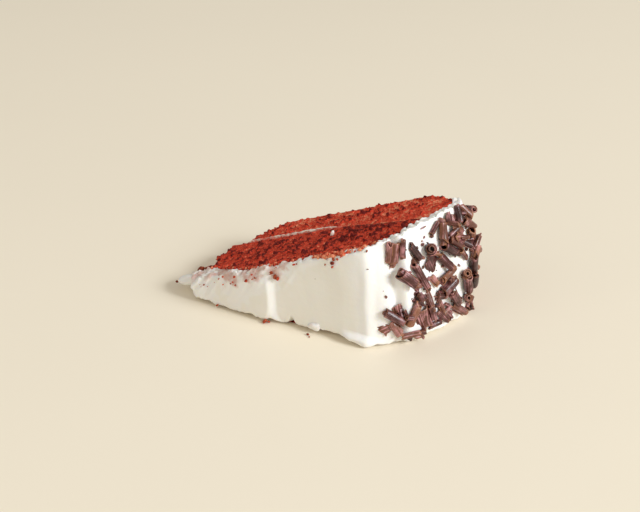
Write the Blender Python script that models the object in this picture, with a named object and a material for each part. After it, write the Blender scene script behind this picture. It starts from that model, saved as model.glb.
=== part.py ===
"""A slice of frosted layer cake lying on its lower cut face: two red sponge layers, the cream
between them, and the white frosting with chocolate curls pressed into its side."""

import math
import random

import bmesh
import bpy
import numpy as np
from mathutils import Matrix, Vector, noise

MM = 0.001

# The cut of the slice, seen from the cake's own axis
SLICE_ANGLE = math.radians(22.0)
CAKE_HEIGHT = 60.5
JOIN_GAP = 0.3

# Outside of the frosting, as radius and depth below the frosted top, from the tip to the base
FROSTING_OUTSIDE = (
    (24.5, 0.0), (36.0, 0.0), (44.0, 0.0), (52.0, 0.0), (62.0, 0.0), (76.0, 0.0), (88.0, 0.0),
    (96.0, 0.0), (106.0, 1.2), (113.0, 4.6), (117.6, 9.5), (121.2, 16.0), (124.1, 24.0),
    (126.9, 33.0), (128.4, 40.0), (128.5, 44.6), (127.2, 47.8), (124.8, 50.4),
)
# Outside of the sponge under it, mark for mark
SPONGE_OUTSIDE = (
    (17.5, 12.6), (32.5, 11.4), (42.2, 7.0), (51.4, 3.8), (61.5, 3.2), (75.5, 3.8), (87.5, 4.6),
    (95.0, 5.2), (103.5, 6.2), (109.6, 9.0), (113.8, 12.6), (116.7, 18.4), (119.0, 25.6),
    (121.8, 34.2), (123.2, 40.6), (123.6, 44.6), (122.8, 47.2), (121.2, 49.4),
)
SPONGE_CORNER = ((121.2, 49.4), (117.6, 52.8), (113.2, 56.8), (108.6, 60.5))
# The upper part of the far end leans outwards: how far, and over which depths and radii
LEAN_OUT = 5.0
LEAN_DEPTHS = (22.0, 44.0)
LEAN_RADII = (90.0, 122.0)
FROSTING_STEPS = 42
FROSTING_RISE_STEPS = 11

# The cream between the layers, which bows towards the frosted top near the rim
FILLING_DEPTH = 40.4
FILLING_BOW = 9.8
FILLING_BOW_FROM = 62.0
FILLING_BOW_TO = 121.0
FILLING_THICK = 1.5
FILLING_TIP = 24.5

# Torn tips of the two sponge layers, as radius at the front and the back of each
TOP_TIP = (
    (23.5, 13.0), (25.6, 16.5), (23.6, 21.0), (20.4, 25.5), (20.2, 28.5), (23.4, 31.5),
    (21.8, 35.5), (22.5, 39.0),
)
BASE_TIP = ((29.0, 42.0), (29.6, 47.0), (31.4, 52.0), (34.6, 56.6), (38.5, 60.5))

# Open crumb of the cut and torn faces
CRUMB_DEPTH = 0.85
CRUMB_SIZE = 4.2
TEAR_DEPTH = 1.6

# Marks of the knife and the spatula on the frosting, by distance along it from the tip
RIDGE_AT = 37.8
RIDGE_WIDTH = 2.6
RIDGE_HEIGHT = 1.3
CREASE_AT = 92.0
CREASE_WIDTH = 2.4
CREASE_DEPTH = 1.7
LIP_AT = 96.5
LIP_WIDTH = 3.2
LIP_HEIGHT = 1.3
SWIRL_HEIGHT = 0.7
FLARE_AT = 76.0
FLARE_WIDTH = 6.5
FLARE_HEIGHT = 2.4
FLARE_TOP = (3.5, 7.5)
TUCK_DEPTH = 1.8
TUCK_HEIGHT = 5.0
LOWER_EDGE = ((0.0, 1.6), (40.0, 1.4), (70.0, 2.7), (80.0, 1.2), (100.0, 1.3), (145.0, 1.0))

# Frosting dragged off the tip
DRAG_CENTRE = (16.6, 9.0, 5.0)
DRAG_RADII = (6.2, 4.2, 2.4)

# Chocolate curls
CURL_SEED = 21
CURL_THICK = 0.75
CURL_CLEARANCE = 0.4
CURL_ROUNDING = 0.16
CURL_LEAN = math.radians(20.0)
CURL_LEAN_FROM_TO = (114.0, 130.0)
CURL_LEAN_LIFT = 0.3
ROLL_CLOSING = 0.34
ROLL_CELLS = 9
STRIP_CELLS = 4
CURL_KINDS = {
    # turns, radius by width, height of the axis by radius, tilt of the axis, taper
    "roll": (1.12, 0.50, 0.55, 4.0, 0.12),
    "half": (0.52, 0.55, 0.12, 8.0, 0.10),
    "shard": (0.20, 1.35, -0.72, 14.0, 0.30),
    "scroll": (1.45, 0.50, 0.55, 62.0, 0.0),
    "cone": (1.02, 0.50, 0.60, 30.0, 0.45),
}
# kind, distance along the frosting, angle above the lower cut, heading, length, width
CURLS = (
    ("roll", 95.6, 19.3, 68, 9.0, 4.2), ("half", 93.2, 19.8, 72, 8.4, 3.4),
    ("roll", 98.4, 19.7, 72, 6.5, 2.8), ("half", 96.9, 14.4, -48, 8.0, 6.2),
    ("half", 103.7, 17.8, -68, 9.0, 4.4), ("roll", 103.9, 12.9, -68, 13.0, 3.8),
    ("shard", 101.6, 11.4, -50, 6.0, 4.4), ("scroll", 110.2, 17.4, 150, 5.0, 5.4),
    ("shard", 102.9, 8.8, -42, 6.8, 4.0), ("roll", 98.6, 6.4, 60, 8.2, 4.4),
    ("shard", 104.3, 4.2, -62, 8.4, 6.6), ("roll", 90.2, 6.7, -36, 8.4, 4.0),
    ("cone", 93.5, 6.2, -88, 6.4, 4.2), ("half", 91.2, 3.8, -60, 7.2, 4.6),
    ("shard", 86.8, 4.2, 37, 4.0, 3.4), ("half", 96.4, 2.2, 5, 7.0, 3.0),
    ("half", 101.5, 1.9, -3, 6.4, 3.4), ("half", 115.6, 20.1, 38, 6.0, 2.6),
    ("roll", 118.9, 19.1, 74, 8.6, 4.4), ("roll", 120.4, 15.2, -43, 8.4, 4.2),
    ("half", 123.6, 15.9, -44, 8.0, 3.6), ("roll", 123.3, 18.1, 22, 6.6, 3.2),
    ("shard", 126.6, 17.2, -12, 8.0, 4.6), ("half", 127.4, 20.4, 70, 6.6, 3.4),
    ("cone", 131.4, 18.0, -40, 8.0, 4.6), ("half", 131.6, 20.2, -70, 7.0, 4.0),
    ("shard", 123.3, 20.5, -76, 5.0, 2.8), ("shard", 125.8, 19.6, 76, 6.4, 2.8),
    ("half", 133.6, 15.6, -55, 7.4, 4.2), ("roll", 133.2, 12.7, 88, 7.6, 4.4),
    ("half", 128.9, 14.8, -46, 5.6, 3.4), ("half", 126.1, 13.5, -48, 6.2, 3.2),
    ("roll", 131.8, 10.6, -70, 9.4, 3.8), ("scroll", 126.2, 9.8, 140, 5.0, 4.4),
    ("half", 128.2, 7.6, -70, 8.4, 4.8), ("shard", 111.4, 14.5, -62, 7.0, 5.8),
    ("half", 117.1, 13.6, -55, 8.0, 4.8), ("roll", 117.9, 11.1, 17, 9.6, 3.6),
    ("half", 110.8, 11.1, -58, 7.2, 4.6), ("half", 117.9, 8.5, 24, 8.4, 5.2),
    ("roll", 114.3, 7.4, -16, 6.2, 4.2), ("cone", 107.6, 7.0, -84, 6.4, 4.2),
    ("half", 108.3, 4.7, -74, 7.0, 3.8), ("half", 113.8, 5.5, -70, 9.0, 3.4),
    ("roll", 121.0, 5.8, -54, 9.2, 4.6), ("scroll", 128.6, 4.5, 150, 4.4, 4.2),
    ("half", 123.9, 3.1, -44, 7.0, 4.4), ("half", 114.1, 3.3, -48, 7.0, 3.4),
    ("shard", 119.2, 2.6, -34, 6.4, 3.4), ("half", 110.5, 2.3, 4, 6.0, 3.2),
    ("half", 133.0, 7.2, -60, 7.0, 4.2), ("shard", 132.8, 3.6, 20, 6.0, 4.0),
)
# More of them where the side turns away, as many as this for each row round the rim
BACK_ROWS = (136.0, 138.8)
BACK_COUNT = 4


def smooth_path(marks, count):
    """The curve through the marks, at evenly spaced places."""
    marks = np.array(marks, float)
    ends = np.vstack([2 * marks[0] - marks[1], marks, 2 * marks[-1] - marks[-2]])
    pieces = []
    for i in range(1, len(ends) - 2):
        a, b, c, d = ends[i - 1 : i + 3]
        t = np.linspace(0.0, 1.0, 24, endpoint=False)[:, None]
        pieces.append(
            0.5 * (2 * b + (c - a) * t + (2 * a - 5 * b + 4 * c - d) * t**2)
            + 0.5 * (3 * b - a - 3 * c + d) * t**3
        )
    fine = np.vstack(pieces + [marks[-1:]])
    along = np.concatenate([[0.0], np.cumsum(np.hypot(*np.diff(fine, axis=0).T))])
    places = np.linspace(0.0, along[-1], count)
    return np.stack([np.interp(places, along, fine[:, k]) for k in range(2)], axis=1)


def marks_by_distance(marks, count=400):
    """Distances along the curve through the marks, with the curve's points."""
    points = smooth_path(marks, count)
    along = np.concatenate([[0.0], np.cumsum(np.hypot(*np.diff(points, axis=0).T))])
    return along, points


def paired_inside(share):
    """Point of the sponge's outside opposite a share of the way along the frosting."""
    along, points = marks_by_distance(FROSTING_OUTSIDE)
    marks = np.array(FROSTING_OUTSIDE)
    at = [along[np.argmin(np.hypot(*(points - mark).T))] for mark in marks]
    number = float(np.interp(share * along[-1], at, np.arange(len(marks))))
    return smooth_through(SPONGE_OUTSIDE, number)


def smooth_through(marks, number):
    """Point of the curve through the marks at a running mark number."""
    marks = np.array(marks, float)
    ends = np.vstack([2 * marks[0] - marks[1], marks, 2 * marks[-1] - marks[-2]])
    i = min(int(number), len(marks) - 2)
    t = number - i
    a, b, c, d = ends[i : i + 4]
    return (
        0.5 * (2 * b + (c - a) * t + (2 * a - 5 * b + 4 * c - d) * t**2)
        + 0.5 * (3 * b - a - 3 * c + d) * t**3
    )


def bump(value, centre, width):
    """A rounded hump of height one."""
    return math.exp(-(((value - centre) / width) ** 2))


def ease(value, start, end):
    """Smooth step from nought to one."""
    t = min(max((value - start) / (end - start), 0.0), 1.0)
    return t * t * (3.0 - 2.0 * t)


def filling_depth(radius):
    """Depth of the middle of the cream at a radius."""
    return FILLING_DEPTH - FILLING_BOW * ease(radius, FILLING_BOW_FROM, FILLING_BOW_TO)


def place(radius, depth, angle):
    """A point of the slice from radius, depth below the frosted top and angle above the cut."""
    outwards = LEAN_OUT * ease(depth, *LEAN_DEPTHS) * ease(radius, *LEAN_RADII)
    radius = radius + outwards * angle / SLICE_ANGLE
    return Vector((radius * math.cos(angle), depth, radius * math.sin(angle))) * MM


def new_object(name, mesh, group):
    """Wraps a mesh as an object of a collection."""
    item = bpy.data.objects.new(name, mesh)
    group.objects.link(item)
    return item


def block(name, cells, group):
    """A unit block cut into cells along its three sides, with corners at 0 and 1."""
    body = bmesh.new()
    bmesh.ops.create_cube(body, size=1.0)
    bmesh.ops.translate(body, verts=body.verts, vec=(0.5, 0.5, 0.5))
    for axis in range(3):
        edges = []
        for edge in body.edges:
            step = edge.verts[1].co - edge.verts[0].co
            if abs(step[axis]) > 0.5 * step.length:
                edges.append(edge)
        if cells[axis] > 1:
            bmesh.ops.subdivide_edges(
                body, edges=edges, cuts=cells[axis] - 1, use_grid_fill=True
            )
    mesh = bpy.data.meshes.new(name)
    body.to_mesh(mesh)
    body.free()
    return new_object(name, mesh, group)


def reshape(item, rule):
    """Moves every corner of a block to where the rule puts its three shares."""
    for corner in item.data.vertices:
        corner.co = rule(*corner.co)


def patch(front, back, tip, rim, u, v):
    """Blends four border curves into a point: u runs from tip to rim, v from front to back."""
    straight = (1 - v) * front(u) + v * back(u)
    across = (1 - u) * tip(v) + u * rim(v)
    corners = (1 - u) * ((1 - v) * front(0.0) + v * back(0.0))
    corners = corners + u * ((1 - v) * front(1.0) + v * back(1.0))
    return straight + across - corners


def crumb(point, size):
    """Uneven crumb between about -1 and 1."""
    coarse = noise.noise(Vector(point) / size)
    fine = noise.noise(Vector(point) / (size * 0.45) + Vector((7.3, 1.9, 4.1)))
    return 1.3 * coarse + 0.6 * fine


def outline_curve(marks):
    """A border curve through marks, called with a share of its length."""
    along, points = marks_by_distance(marks)

    def at(share):
        """The border's point at a share of its length."""
        place_along = share * along[-1]
        return np.array([np.interp(place_along, along, points[:, k]) for k in range(2)])

    return at


def shrunk_outside():
    """The sponge's outside, drawn in by the gap to the frosting."""
    points = smooth_path(SPONGE_OUTSIDE, 200)
    step = np.gradient(points, axis=0)
    step /= np.hypot(*step.T)[:, None]
    inward = np.stack([-step[:, 1], step[:, 0]], axis=1)
    return points + JOIN_GAP * inward


def crossing(points, offset):
    """Index at which the outside meets the filling's face, and that point."""
    side = np.array([p[1] - filling_depth(p[0]) - offset for p in points])
    late = np.arange(len(points)) > len(points) // 2
    k = int(np.argmax((side > 0) & late))
    t = side[k - 1] / (side[k - 1] - side[k])
    return k, points[k - 1] * (1 - t) + points[k] * t


def layer_rule(front, back, tip, rim, tear_seed):
    """Turns the shares of a block into a wedge layer with a crumbly cut and a torn tip."""

    def rule(u, v, w):
        """One corner of the layer."""
        radius, depth = patch(front, back, tip, rim, u, v)
        angle = w * SLICE_ANGLE
        point = place(radius, depth, angle) / MM
        torn = max(0.0, 1.0 - u / 0.16) ** 1.5
        inside = min(1.0, 14.0 * min(u, 1 - u) + 0.15)
        radius += torn * TEAR_DEPTH * (0.4 + crumb(point + Vector((tear_seed, 0, 0)), 5.0))
        lift = CRUMB_DEPTH * (crumb(point, CRUMB_SIZE) - 0.35) * inside
        top = max(0.0, (w - 0.6) / 0.4)
        angle -= top * max(0.0, -lift) / max(radius, 20.0)
        angle += top * max(0.0, lift) * 0.5 / max(radius, 20.0)
        return place(radius, depth, angle)

    return rule


def make_sponge_top(group):
    """The layer under the frosted top."""
    outside = shrunk_outside()
    reach = -0.5 * FILLING_THICK - JOIN_GAP
    k, corner = crossing(outside, reach)
    turn = int(0.76 * k)
    first = int(np.argmax(outside[:, 0] > TOP_TIP[0][0]))
    front = outline_curve(outside[first : turn + 1])
    rim = outline_curve(np.vstack([outside[turn:k], corner]))
    tip_marks = [front(0.0)] + [np.array(m) for m in TOP_TIP[1:]]
    tip_marks[-1] = np.array([TOP_TIP[-1][0], filling_depth(TOP_TIP[-1][0]) + reach])
    tip = outline_curve(tip_marks)
    radii = np.linspace(tip_marks[-1][0], corner[0], 60)
    back = outline_curve([(r, filling_depth(r) + reach) for r in radii])
    item = block("sponge_top", (34, 12, 6), group)
    reshape(item, layer_rule(front, back, tip, rim, 0.0))
    return item


def make_sponge_base(group):
    """The layer at the cake's base, with its rounded lower corner."""
    outside = np.vstack([shrunk_outside()[:-1], smooth_path(SPONGE_CORNER, 20)])
    reach = 0.5 * FILLING_THICK + JOIN_GAP
    k, corner = crossing(outside, reach)
    rim = outline_curve(np.vstack([corner, outside[k:]]))
    tip_marks = [np.array(m) for m in BASE_TIP]
    tip_marks[0] = np.array([BASE_TIP[0][0], filling_depth(BASE_TIP[0][0]) + reach])
    tip = outline_curve(tip_marks)
    radii = np.linspace(tip_marks[0][0], corner[0], 60)
    front = outline_curve([(r, filling_depth(r) + reach) for r in radii])
    back = outline_curve([tip_marks[-1], (80.0, CAKE_HEIGHT), outside[-1]])
    item = block("sponge_base", (32, 8, 6), group)
    reshape(item, layer_rule(front, back, tip, rim, 31.0))
    return item


def make_filling(group):
    """The thin cream between the layers, standing out a little past the torn tip."""
    outside = shrunk_outside()
    rim_end = crossing(outside, 0.0)[1][0] - 0.1

    def rule(u, v, w):
        """One corner of the cream."""
        radius = FILLING_TIP + (rim_end - FILLING_TIP) * u
        ragged = max(0.0, 1.0 - u / 0.05) * 1.2 * noise.noise(Vector((0.0, 0.0, 5.0 * w)))
        depth = filling_depth(radius) + (v - 0.5) * FILLING_THICK
        sunk = 0.25 + 0.3 * noise.noise(Vector((radius / 4.0, 0.0, 2.0)))
        angle = w * SLICE_ANGLE - w * sunk / radius
        return place(radius - ragged, depth, angle)

    item = block("filling", (40, 1, 5), group)
    reshape(item, rule)
    return item


def lower_edge(along, inner):
    """Height of the frosting's lower edge above the lower cut face."""
    height = float(np.interp(along, *np.array(LOWER_EDGE).T))
    wobble = 0.45 * noise.noise(Vector((along / 3.5, 8.0, 0.0)))
    return max(0.4, 0.4 + (height - 0.4 + wobble) * (1 - 0.6 * inner))


def frosting_relief(along, angle, radius):
    """How far the frosting's outside stands proud of its smooth form."""
    height = radius * math.sin(angle)
    proud = RIDGE_HEIGHT * (1.0 - ease(along, RIDGE_AT - RIDGE_WIDTH, RIDGE_AT + RIDGE_WIDTH))
    proud *= ease(along, 4.0, 30.0)
    sway = 0.9 * math.sin(height / 6.0 + 0.8)
    proud -= CREASE_DEPTH * bump(along, CREASE_AT + sway, CREASE_WIDTH)
    proud += LIP_HEIGHT * bump(along, LIP_AT + sway, LIP_WIDTH)
    foot = 1.0 - ease(height, *FLARE_TOP)
    proud += FLARE_HEIGHT * bump(along, FLARE_AT, FLARE_WIDTH) * foot
    proud -= TUCK_DEPTH * ease(along, 84.0, 98.0) * math.exp(-height / TUCK_HEIGHT)
    swirl = noise.noise(Vector((along / 9.0, height / 14.0, 3.0)))
    proud += SWIRL_HEIGHT * swirl * ease(along, 70.0, 100.0)
    proud += 0.25 * noise.noise(Vector((along / 12.0, height / 8.0, 9.0)))
    return proud


def outside_frame(along):
    """Radius, depth and outward direction on the frosting at a distance from the tip."""
    distances, points = marks_by_distance(FROSTING_OUTSIDE)
    point = [float(np.interp(along, distances, points[:, k])) for k in range(2)]
    ahead = [np.interp(along + 0.5, distances, points[:, k]) for k in range(2)]
    behind = [np.interp(along - 0.5, distances, points[:, k]) for k in range(2)]
    step = np.array(ahead) - np.array(behind)
    step /= np.hypot(*step)
    return point[0], point[1], step


def make_frosting_body(group):
    """The frosting over the top, round the shoulder and down the side."""
    distances = marks_by_distance(FROSTING_OUTSIDE)[0]
    total = distances[-1]
    frames = {}

    def rule(u, v, w):
        """One corner of the frosting: v runs from the sponge to the outside."""
        share = u ** 0.86
        key = round(u, 6)
        if key not in frames:
            frames[key] = (*outside_frame(share * total), paired_inside(share))
        radius, depth, step, inside = frames[key]
        along = share * total
        low = lower_edge(along, 1 - v) / max(radius, 20.0)
        angle = low + w * (SLICE_ANGLE - low)
        proud = frosting_relief(along, angle, radius)
        outer = np.array([radius, depth]) + proud * np.array([step[1], -step[0]])
        ragged = 0.35 * noise.noise(Vector((along / 4.0, 5.0 * v, 1.0)))
        angle += w * ragged / max(radius, 20.0)
        point = inside * (1 - v) + outer * v
        torn = max(0.0, 1.0 - u / 0.05) * 1.6 * noise.noise(Vector((0.0, 2.0 * v, 4.0 * w)))
        return place(point[0] + torn, point[1], angle)

    item = block("frosting", (FROSTING_STEPS, 1, FROSTING_RISE_STEPS), group)
    reshape(item, rule)
    return item


def make_dragged_frosting(group):
    """The small lump of frosting dragged off the tip."""
    body = bmesh.new()
    bmesh.ops.create_icosphere(body, subdivisions=2, radius=1.0)
    for corner in body.verts:
        swell = 1.0 + 0.25 * noise.noise(corner.co * 1.7)
        spot = Vector([c * r * swell for c, r in zip(corner.co, DRAG_RADII)])
        corner.co = (Vector(DRAG_CENTRE) + spot) * MM
    mesh = bpy.data.meshes.new("dragged")
    body.to_mesh(mesh)
    body.free()
    return new_object("dragged", mesh, group)


def curl_frame(along, angle, heading, tilt):
    """Seat of a curl on the frosting: its origin and its three directions."""
    radius, depth, step = outside_frame(along)
    round_the_rim = Vector((-math.sin(angle), 0.0, math.cos(angle)))
    outwards = Vector((math.cos(angle), 0.0, math.sin(angle)))
    down_side = outwards * step[0] + Vector((0.0, step[1], 0.0))
    normal = outwards * step[1] - Vector((0.0, step[0], 0.0))
    axis = down_side * math.cos(heading) + round_the_rim * math.sin(heading)
    axis = axis * math.cos(tilt) + normal * math.sin(tilt)
    across = normal.cross(axis).normalized()
    up = axis.cross(across).normalized()
    proud = frosting_relief(along, angle, radius)
    return place(radius, depth, angle) / MM + proud * normal, axis, across, up


def make_curl(name, row, draw, group):
    """One curl: a strip of chocolate rolled about its own axis."""
    kind, along, angle, heading, length, width = row
    turns, size, stand, tilt, taper = CURL_KINDS[kind]
    rolled = turns > 1.0
    radius = size * width
    lean = CURL_LEAN * ease(along, *CURL_LEAN_FROM_TO) * draw.choice((-1.0, 1.0))
    tilt = math.radians(tilt + draw.uniform(-4.0, 4.0)) + lean
    seat, axis, across, up = curl_frame(along, math.radians(angle), math.radians(heading), tilt)
    seat = seat + up * (radius * stand + CURL_LEAN_LIFT * length * abs(math.sin(lean)))
    start = draw.uniform(-0.6, 0.6) if rolled else math.pi * (0.5 - turns)
    skew = draw.uniform(-0.35, 0.35)

    def rule(u, v, w):
        """One corner of the curl: u runs round it, v through it, w along it."""
        turn = start + turns * 2.0 * math.pi * u
        close = ROLL_CLOSING * radius * u if rolled else 0.0
        reach = (radius - close) * (1.0 - taper * w) - CURL_THICK * (1 - v)
        run = (w - 0.5) * length * (1.0 - CURL_ROUNDING * (2 * u - 1) ** 2)
        run += skew * (u - 0.5) * width
        flat = reach * math.cos(turn) * across + reach * math.sin(turn) * up
        return (seat + run * axis + flat) * MM

    item = block(name, (ROLL_CELLS if rolled else STRIP_CELLS, 1, 1), group)
    reshape(item, rule)
    lowest = min(corner.co.z for corner in item.data.vertices)
    lift = max(0.0, CURL_CLEARANCE * MM - lowest)
    item.data.transform(Matrix.Translation((0.0, 0.0, lift)))


def make_curls(group):
    """All the curls: those placed one by one, then those round the turn of the side."""
    draw = random.Random(CURL_SEED)
    rows = list(CURLS)
    for along in BACK_ROWS:
        for k in range(BACK_COUNT):
            angle = math.degrees(SLICE_ANGLE) * (k + 0.5) / BACK_COUNT + draw.uniform(-1.5, 1.5)
            kind = draw.choice(("roll", "half", "half", "shard"))
            place_along = along + draw.uniform(-1.5, 1.5)
            heading = draw.uniform(-90, 90)
            length = draw.uniform(5.5, 8.5)
            rows.append((kind, place_along, angle, heading, length, draw.uniform(3.2, 4.8)))
    for k, row in enumerate(rows):
        make_curl(f"curl_{k}", row, draw, group)


def face_outwards(item):
    """Makes the faces of a closed mesh look outwards."""
    body = bmesh.new()
    body.from_mesh(item.data)
    bmesh.ops.recalc_face_normals(body, faces=body.faces)
    body.to_mesh(item.data)
    body.free()


def shells(body):
    """The separate closed shells of a mesh, as sets of faces joined edge to edge."""
    left = set(body.faces)
    found = []
    while left:
        stack = [left.pop()]
        shell = set(stack)
        while stack:
            for edge in stack.pop().edges:
                for face in edge.link_faces if len(edge.link_faces) == 2 else ():
                    if face in left:
                        left.remove(face)
                        shell.add(face)
                        stack.append(face)
        found.append(shell)
    return sorted(found, key=len)


def keep_largest(item):
    """Fills hollows that the union sealed and drops loose scraps: one shell stays."""
    body = bmesh.new()
    body.from_mesh(item.data)
    for shell in shells(body)[:-1]:
        bmesh.ops.delete(body, geom=list(shell), context="FACES")
    bmesh.ops.triangulate(body, faces=body.faces)
    bmesh.ops.dissolve_degenerate(body, edges=body.edges, dist=0.002 * MM)
    for shell in shells(body)[:-1]:
        bmesh.ops.delete(body, geom=list(shell), context="FACES")
    body.to_mesh(item.data)
    body.free()


def fuse(item, pieces):
    """Joins a collection of pieces to a body and removes the pieces."""
    join = item.modifiers.new("join", "BOOLEAN")
    join.operation = "UNION"
    join.operand_type = "COLLECTION"
    join.collection = pieces
    join.solver = "EXACT"
    graph = bpy.context.evaluated_depsgraph_get()
    mesh = bpy.data.meshes.new_from_object(item.evaluated_get(graph))
    item.modifiers.clear()
    item.data = mesh
    for piece in list(pieces.objects):
        bpy.data.objects.remove(piece)
    bpy.data.collections.remove(pieces)
    keep_largest(item)


def paint(item, colour, roughness):
    """Gives an object its own material."""
    material = bpy.data.materials.new(item.name)
    material.use_nodes = True
    shader = material.node_tree.nodes["Principled BSDF"]
    shader.inputs["Base Color"].default_value = (*colour, 1.0)
    shader.inputs["Roughness"].default_value = roughness
    shader.inputs["Metallic"].default_value = 0.0
    item.data.materials.clear()
    item.data.materials.append(material)


def centre(items):
    """Puts the middle of the slice's lower face at the origin."""
    corners = np.array([tuple(v.co) for item in items for v in item.data.vertices])
    low = corners.min(axis=0)
    high = corners.max(axis=0)
    shift = Matrix.Translation((-0.5 * (low[0] + high[0]), -0.5 * (low[1] + high[1]), -low[2]))
    for item in items:
        item.data.transform(shift)


def main():
    """Builds the slice."""
    for item in list(bpy.data.objects):
        bpy.data.objects.remove(item)
    slice_group = bpy.data.collections.new("cake_slice")
    bpy.context.scene.collection.children.link(slice_group)
    pieces = bpy.data.collections.new("frosting_pieces")
    bpy.context.scene.collection.children.link(pieces)
    top = make_sponge_top(slice_group)
    base = make_sponge_base(slice_group)
    filling = make_filling(slice_group)
    frosting = make_frosting_body(slice_group)
    make_dragged_frosting(pieces)
    make_curls(pieces)
    for item in [top, base, filling, frosting, *pieces.objects]:
        face_outwards(item)
    fuse(frosting, pieces)
    paint(top, (0.33, 0.035, 0.018), 0.9)
    paint(base, (0.28, 0.035, 0.022), 0.9)
    paint(filling, (0.86, 0.72, 0.58), 0.55)
    paint(frosting, (0.9, 0.87, 0.8), 0.5)
    centre([top, base, filling, frosting])


main()
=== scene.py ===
"""Looks of a slice of frosted layer cake that lies on its lower cut face: open red crumb, cream
between the layers, white frosting with crumb smears, and chocolate curls on its side."""

import math
import random

import bpy
import numpy as np
from mathutils import Matrix, Vector


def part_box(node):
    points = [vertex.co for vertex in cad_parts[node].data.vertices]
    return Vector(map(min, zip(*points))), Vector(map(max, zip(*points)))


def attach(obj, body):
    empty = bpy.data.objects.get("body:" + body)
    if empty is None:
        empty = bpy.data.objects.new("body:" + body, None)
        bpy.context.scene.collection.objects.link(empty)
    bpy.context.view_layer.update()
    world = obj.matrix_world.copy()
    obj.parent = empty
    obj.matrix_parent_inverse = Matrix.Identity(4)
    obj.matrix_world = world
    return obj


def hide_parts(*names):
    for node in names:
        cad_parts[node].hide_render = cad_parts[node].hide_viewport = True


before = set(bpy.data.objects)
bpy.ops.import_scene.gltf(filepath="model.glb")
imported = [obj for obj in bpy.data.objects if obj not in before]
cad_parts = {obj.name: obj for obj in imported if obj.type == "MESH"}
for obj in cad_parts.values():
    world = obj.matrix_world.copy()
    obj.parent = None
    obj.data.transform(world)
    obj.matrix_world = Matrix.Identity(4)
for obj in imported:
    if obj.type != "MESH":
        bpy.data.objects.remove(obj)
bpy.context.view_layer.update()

bl_info = {
    "name": "Cake slice",
    "version": (1, 0, 0),
    "blender": (4, 5, 0),
    "location": "3D View > Sidebar > Cake slice",
    "description": "Builds the looks of a slice of frosted layer cake",
    "category": "Add Mesh",
}

MM = 0.001
SLICE_ANGLE = math.radians(22.0)
CAKE_HEIGHT = 60.5
JOIN_GAP = 0.3

# Outside of the frosting and of the sponge under it, as radius and depth, mark for mark
FROSTING_OUTSIDE = (
    (24.5, 0.0), (36.0, 0.0), (44.0, 0.0), (52.0, 0.0), (62.0, 0.0), (76.0, 0.0), (88.0, 0.0),
    (96.0, 0.0), (106.0, 1.2), (113.0, 4.6), (117.6, 9.5), (121.2, 16.0), (124.1, 24.0),
    (126.9, 33.0), (128.4, 40.0), (128.5, 44.6), (127.2, 47.8), (124.8, 50.4),
)
SPONGE_OUTSIDE = (
    (17.5, 12.6), (32.5, 11.4), (42.2, 7.0), (51.4, 3.8), (61.5, 3.2), (75.5, 3.8), (87.5, 4.6),
    (95.0, 5.2), (103.5, 6.2), (109.6, 9.0), (113.8, 12.6), (116.7, 18.4), (119.0, 25.6),
    (121.8, 34.2), (123.2, 40.6), (123.6, 44.6), (122.8, 47.2), (121.2, 49.4),
)
SPONGE_CORNER = ((121.2, 49.4), (117.6, 52.8), (113.2, 56.8), (108.6, 60.5))

# The upper part of the far end leans outwards: how far, and over which depths and radii
LEAN_OUT = 5.0
LEAN_DEPTHS = (22.0, 44.0)
LEAN_RADII = (90.0, 122.0)

# The cream between the layers
FILLING_DEPTH = 40.4
FILLING_BOW = 9.8
FILLING_BOW_FROM_TO = (62.0, 121.0)
FILLING_THICK = 1.5
FILLING_TIP = 24.5
FILLING_GRID = (14, 12, 8)
FILLING_LENGTH = 380
FILLING_SWELL = ((0.35, 6.0, 52), (0.35, 2.0, 53))
SMEARED_RADII = (72.0, 86.0)

# Torn tips of the two sponge layers
TOP_TIP = (
    (23.5, 13.0), (25.6, 16.5), (23.6, 21.0), (20.4, 25.5), (20.2, 28.5), (23.4, 31.5),
    (21.8, 35.5), (22.5, 39.0),
)
BASE_TIP = ((29.0, 42.0), (29.6, 47.0), (31.4, 52.0), (34.6, 56.6), (38.5, 60.5))
TEAR_DEPTH = 1.6
TEAR_SHARE = 0.16

# Noises are given as height, cell size and salt. Here, waves, clumps and grains of the crumb
CRUMB_DEPTH = 0.0011
CRUMB_WAVES = ((0.22, 6.5, 1), (0.28, 3.2, 2))
CRUMB_LUMPS = ((1.1, 2.2, 3), (0.55, 1.15, 13))
CRUMB_MIDDLE = 0.86
CRUMB_HOLES = (1.2, 2.9, 21)
HOLE_REACH = (0.12, 0.45)
HOLE_OPEN = (0.3, 0.8)
DOME_REACH = 0.78

# Points along each layer, then over its cut, down a side and under it
TOP_GRID = (330, 168, 22, 18)
BASE_GRID = (310, 104, 40, 18)
# Which part of a layer's height has crumb, and at which depths its corner is baked
EXPOSED_SHARES = (0.86, 0.985)
CRUST_DEPTHS = (50.0, 52.0)
# The sponge's step beside the cream: its reach and radii, and its height on either side
CREAM_REACH = 2.2
CREAM_STEP_RADII = (70.0, 84.0)
TOP_STEP = -0.75
BASE_STEP = 0.55
CREAM_GAP = 0.05
RIM_GAP = 0.1

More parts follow.
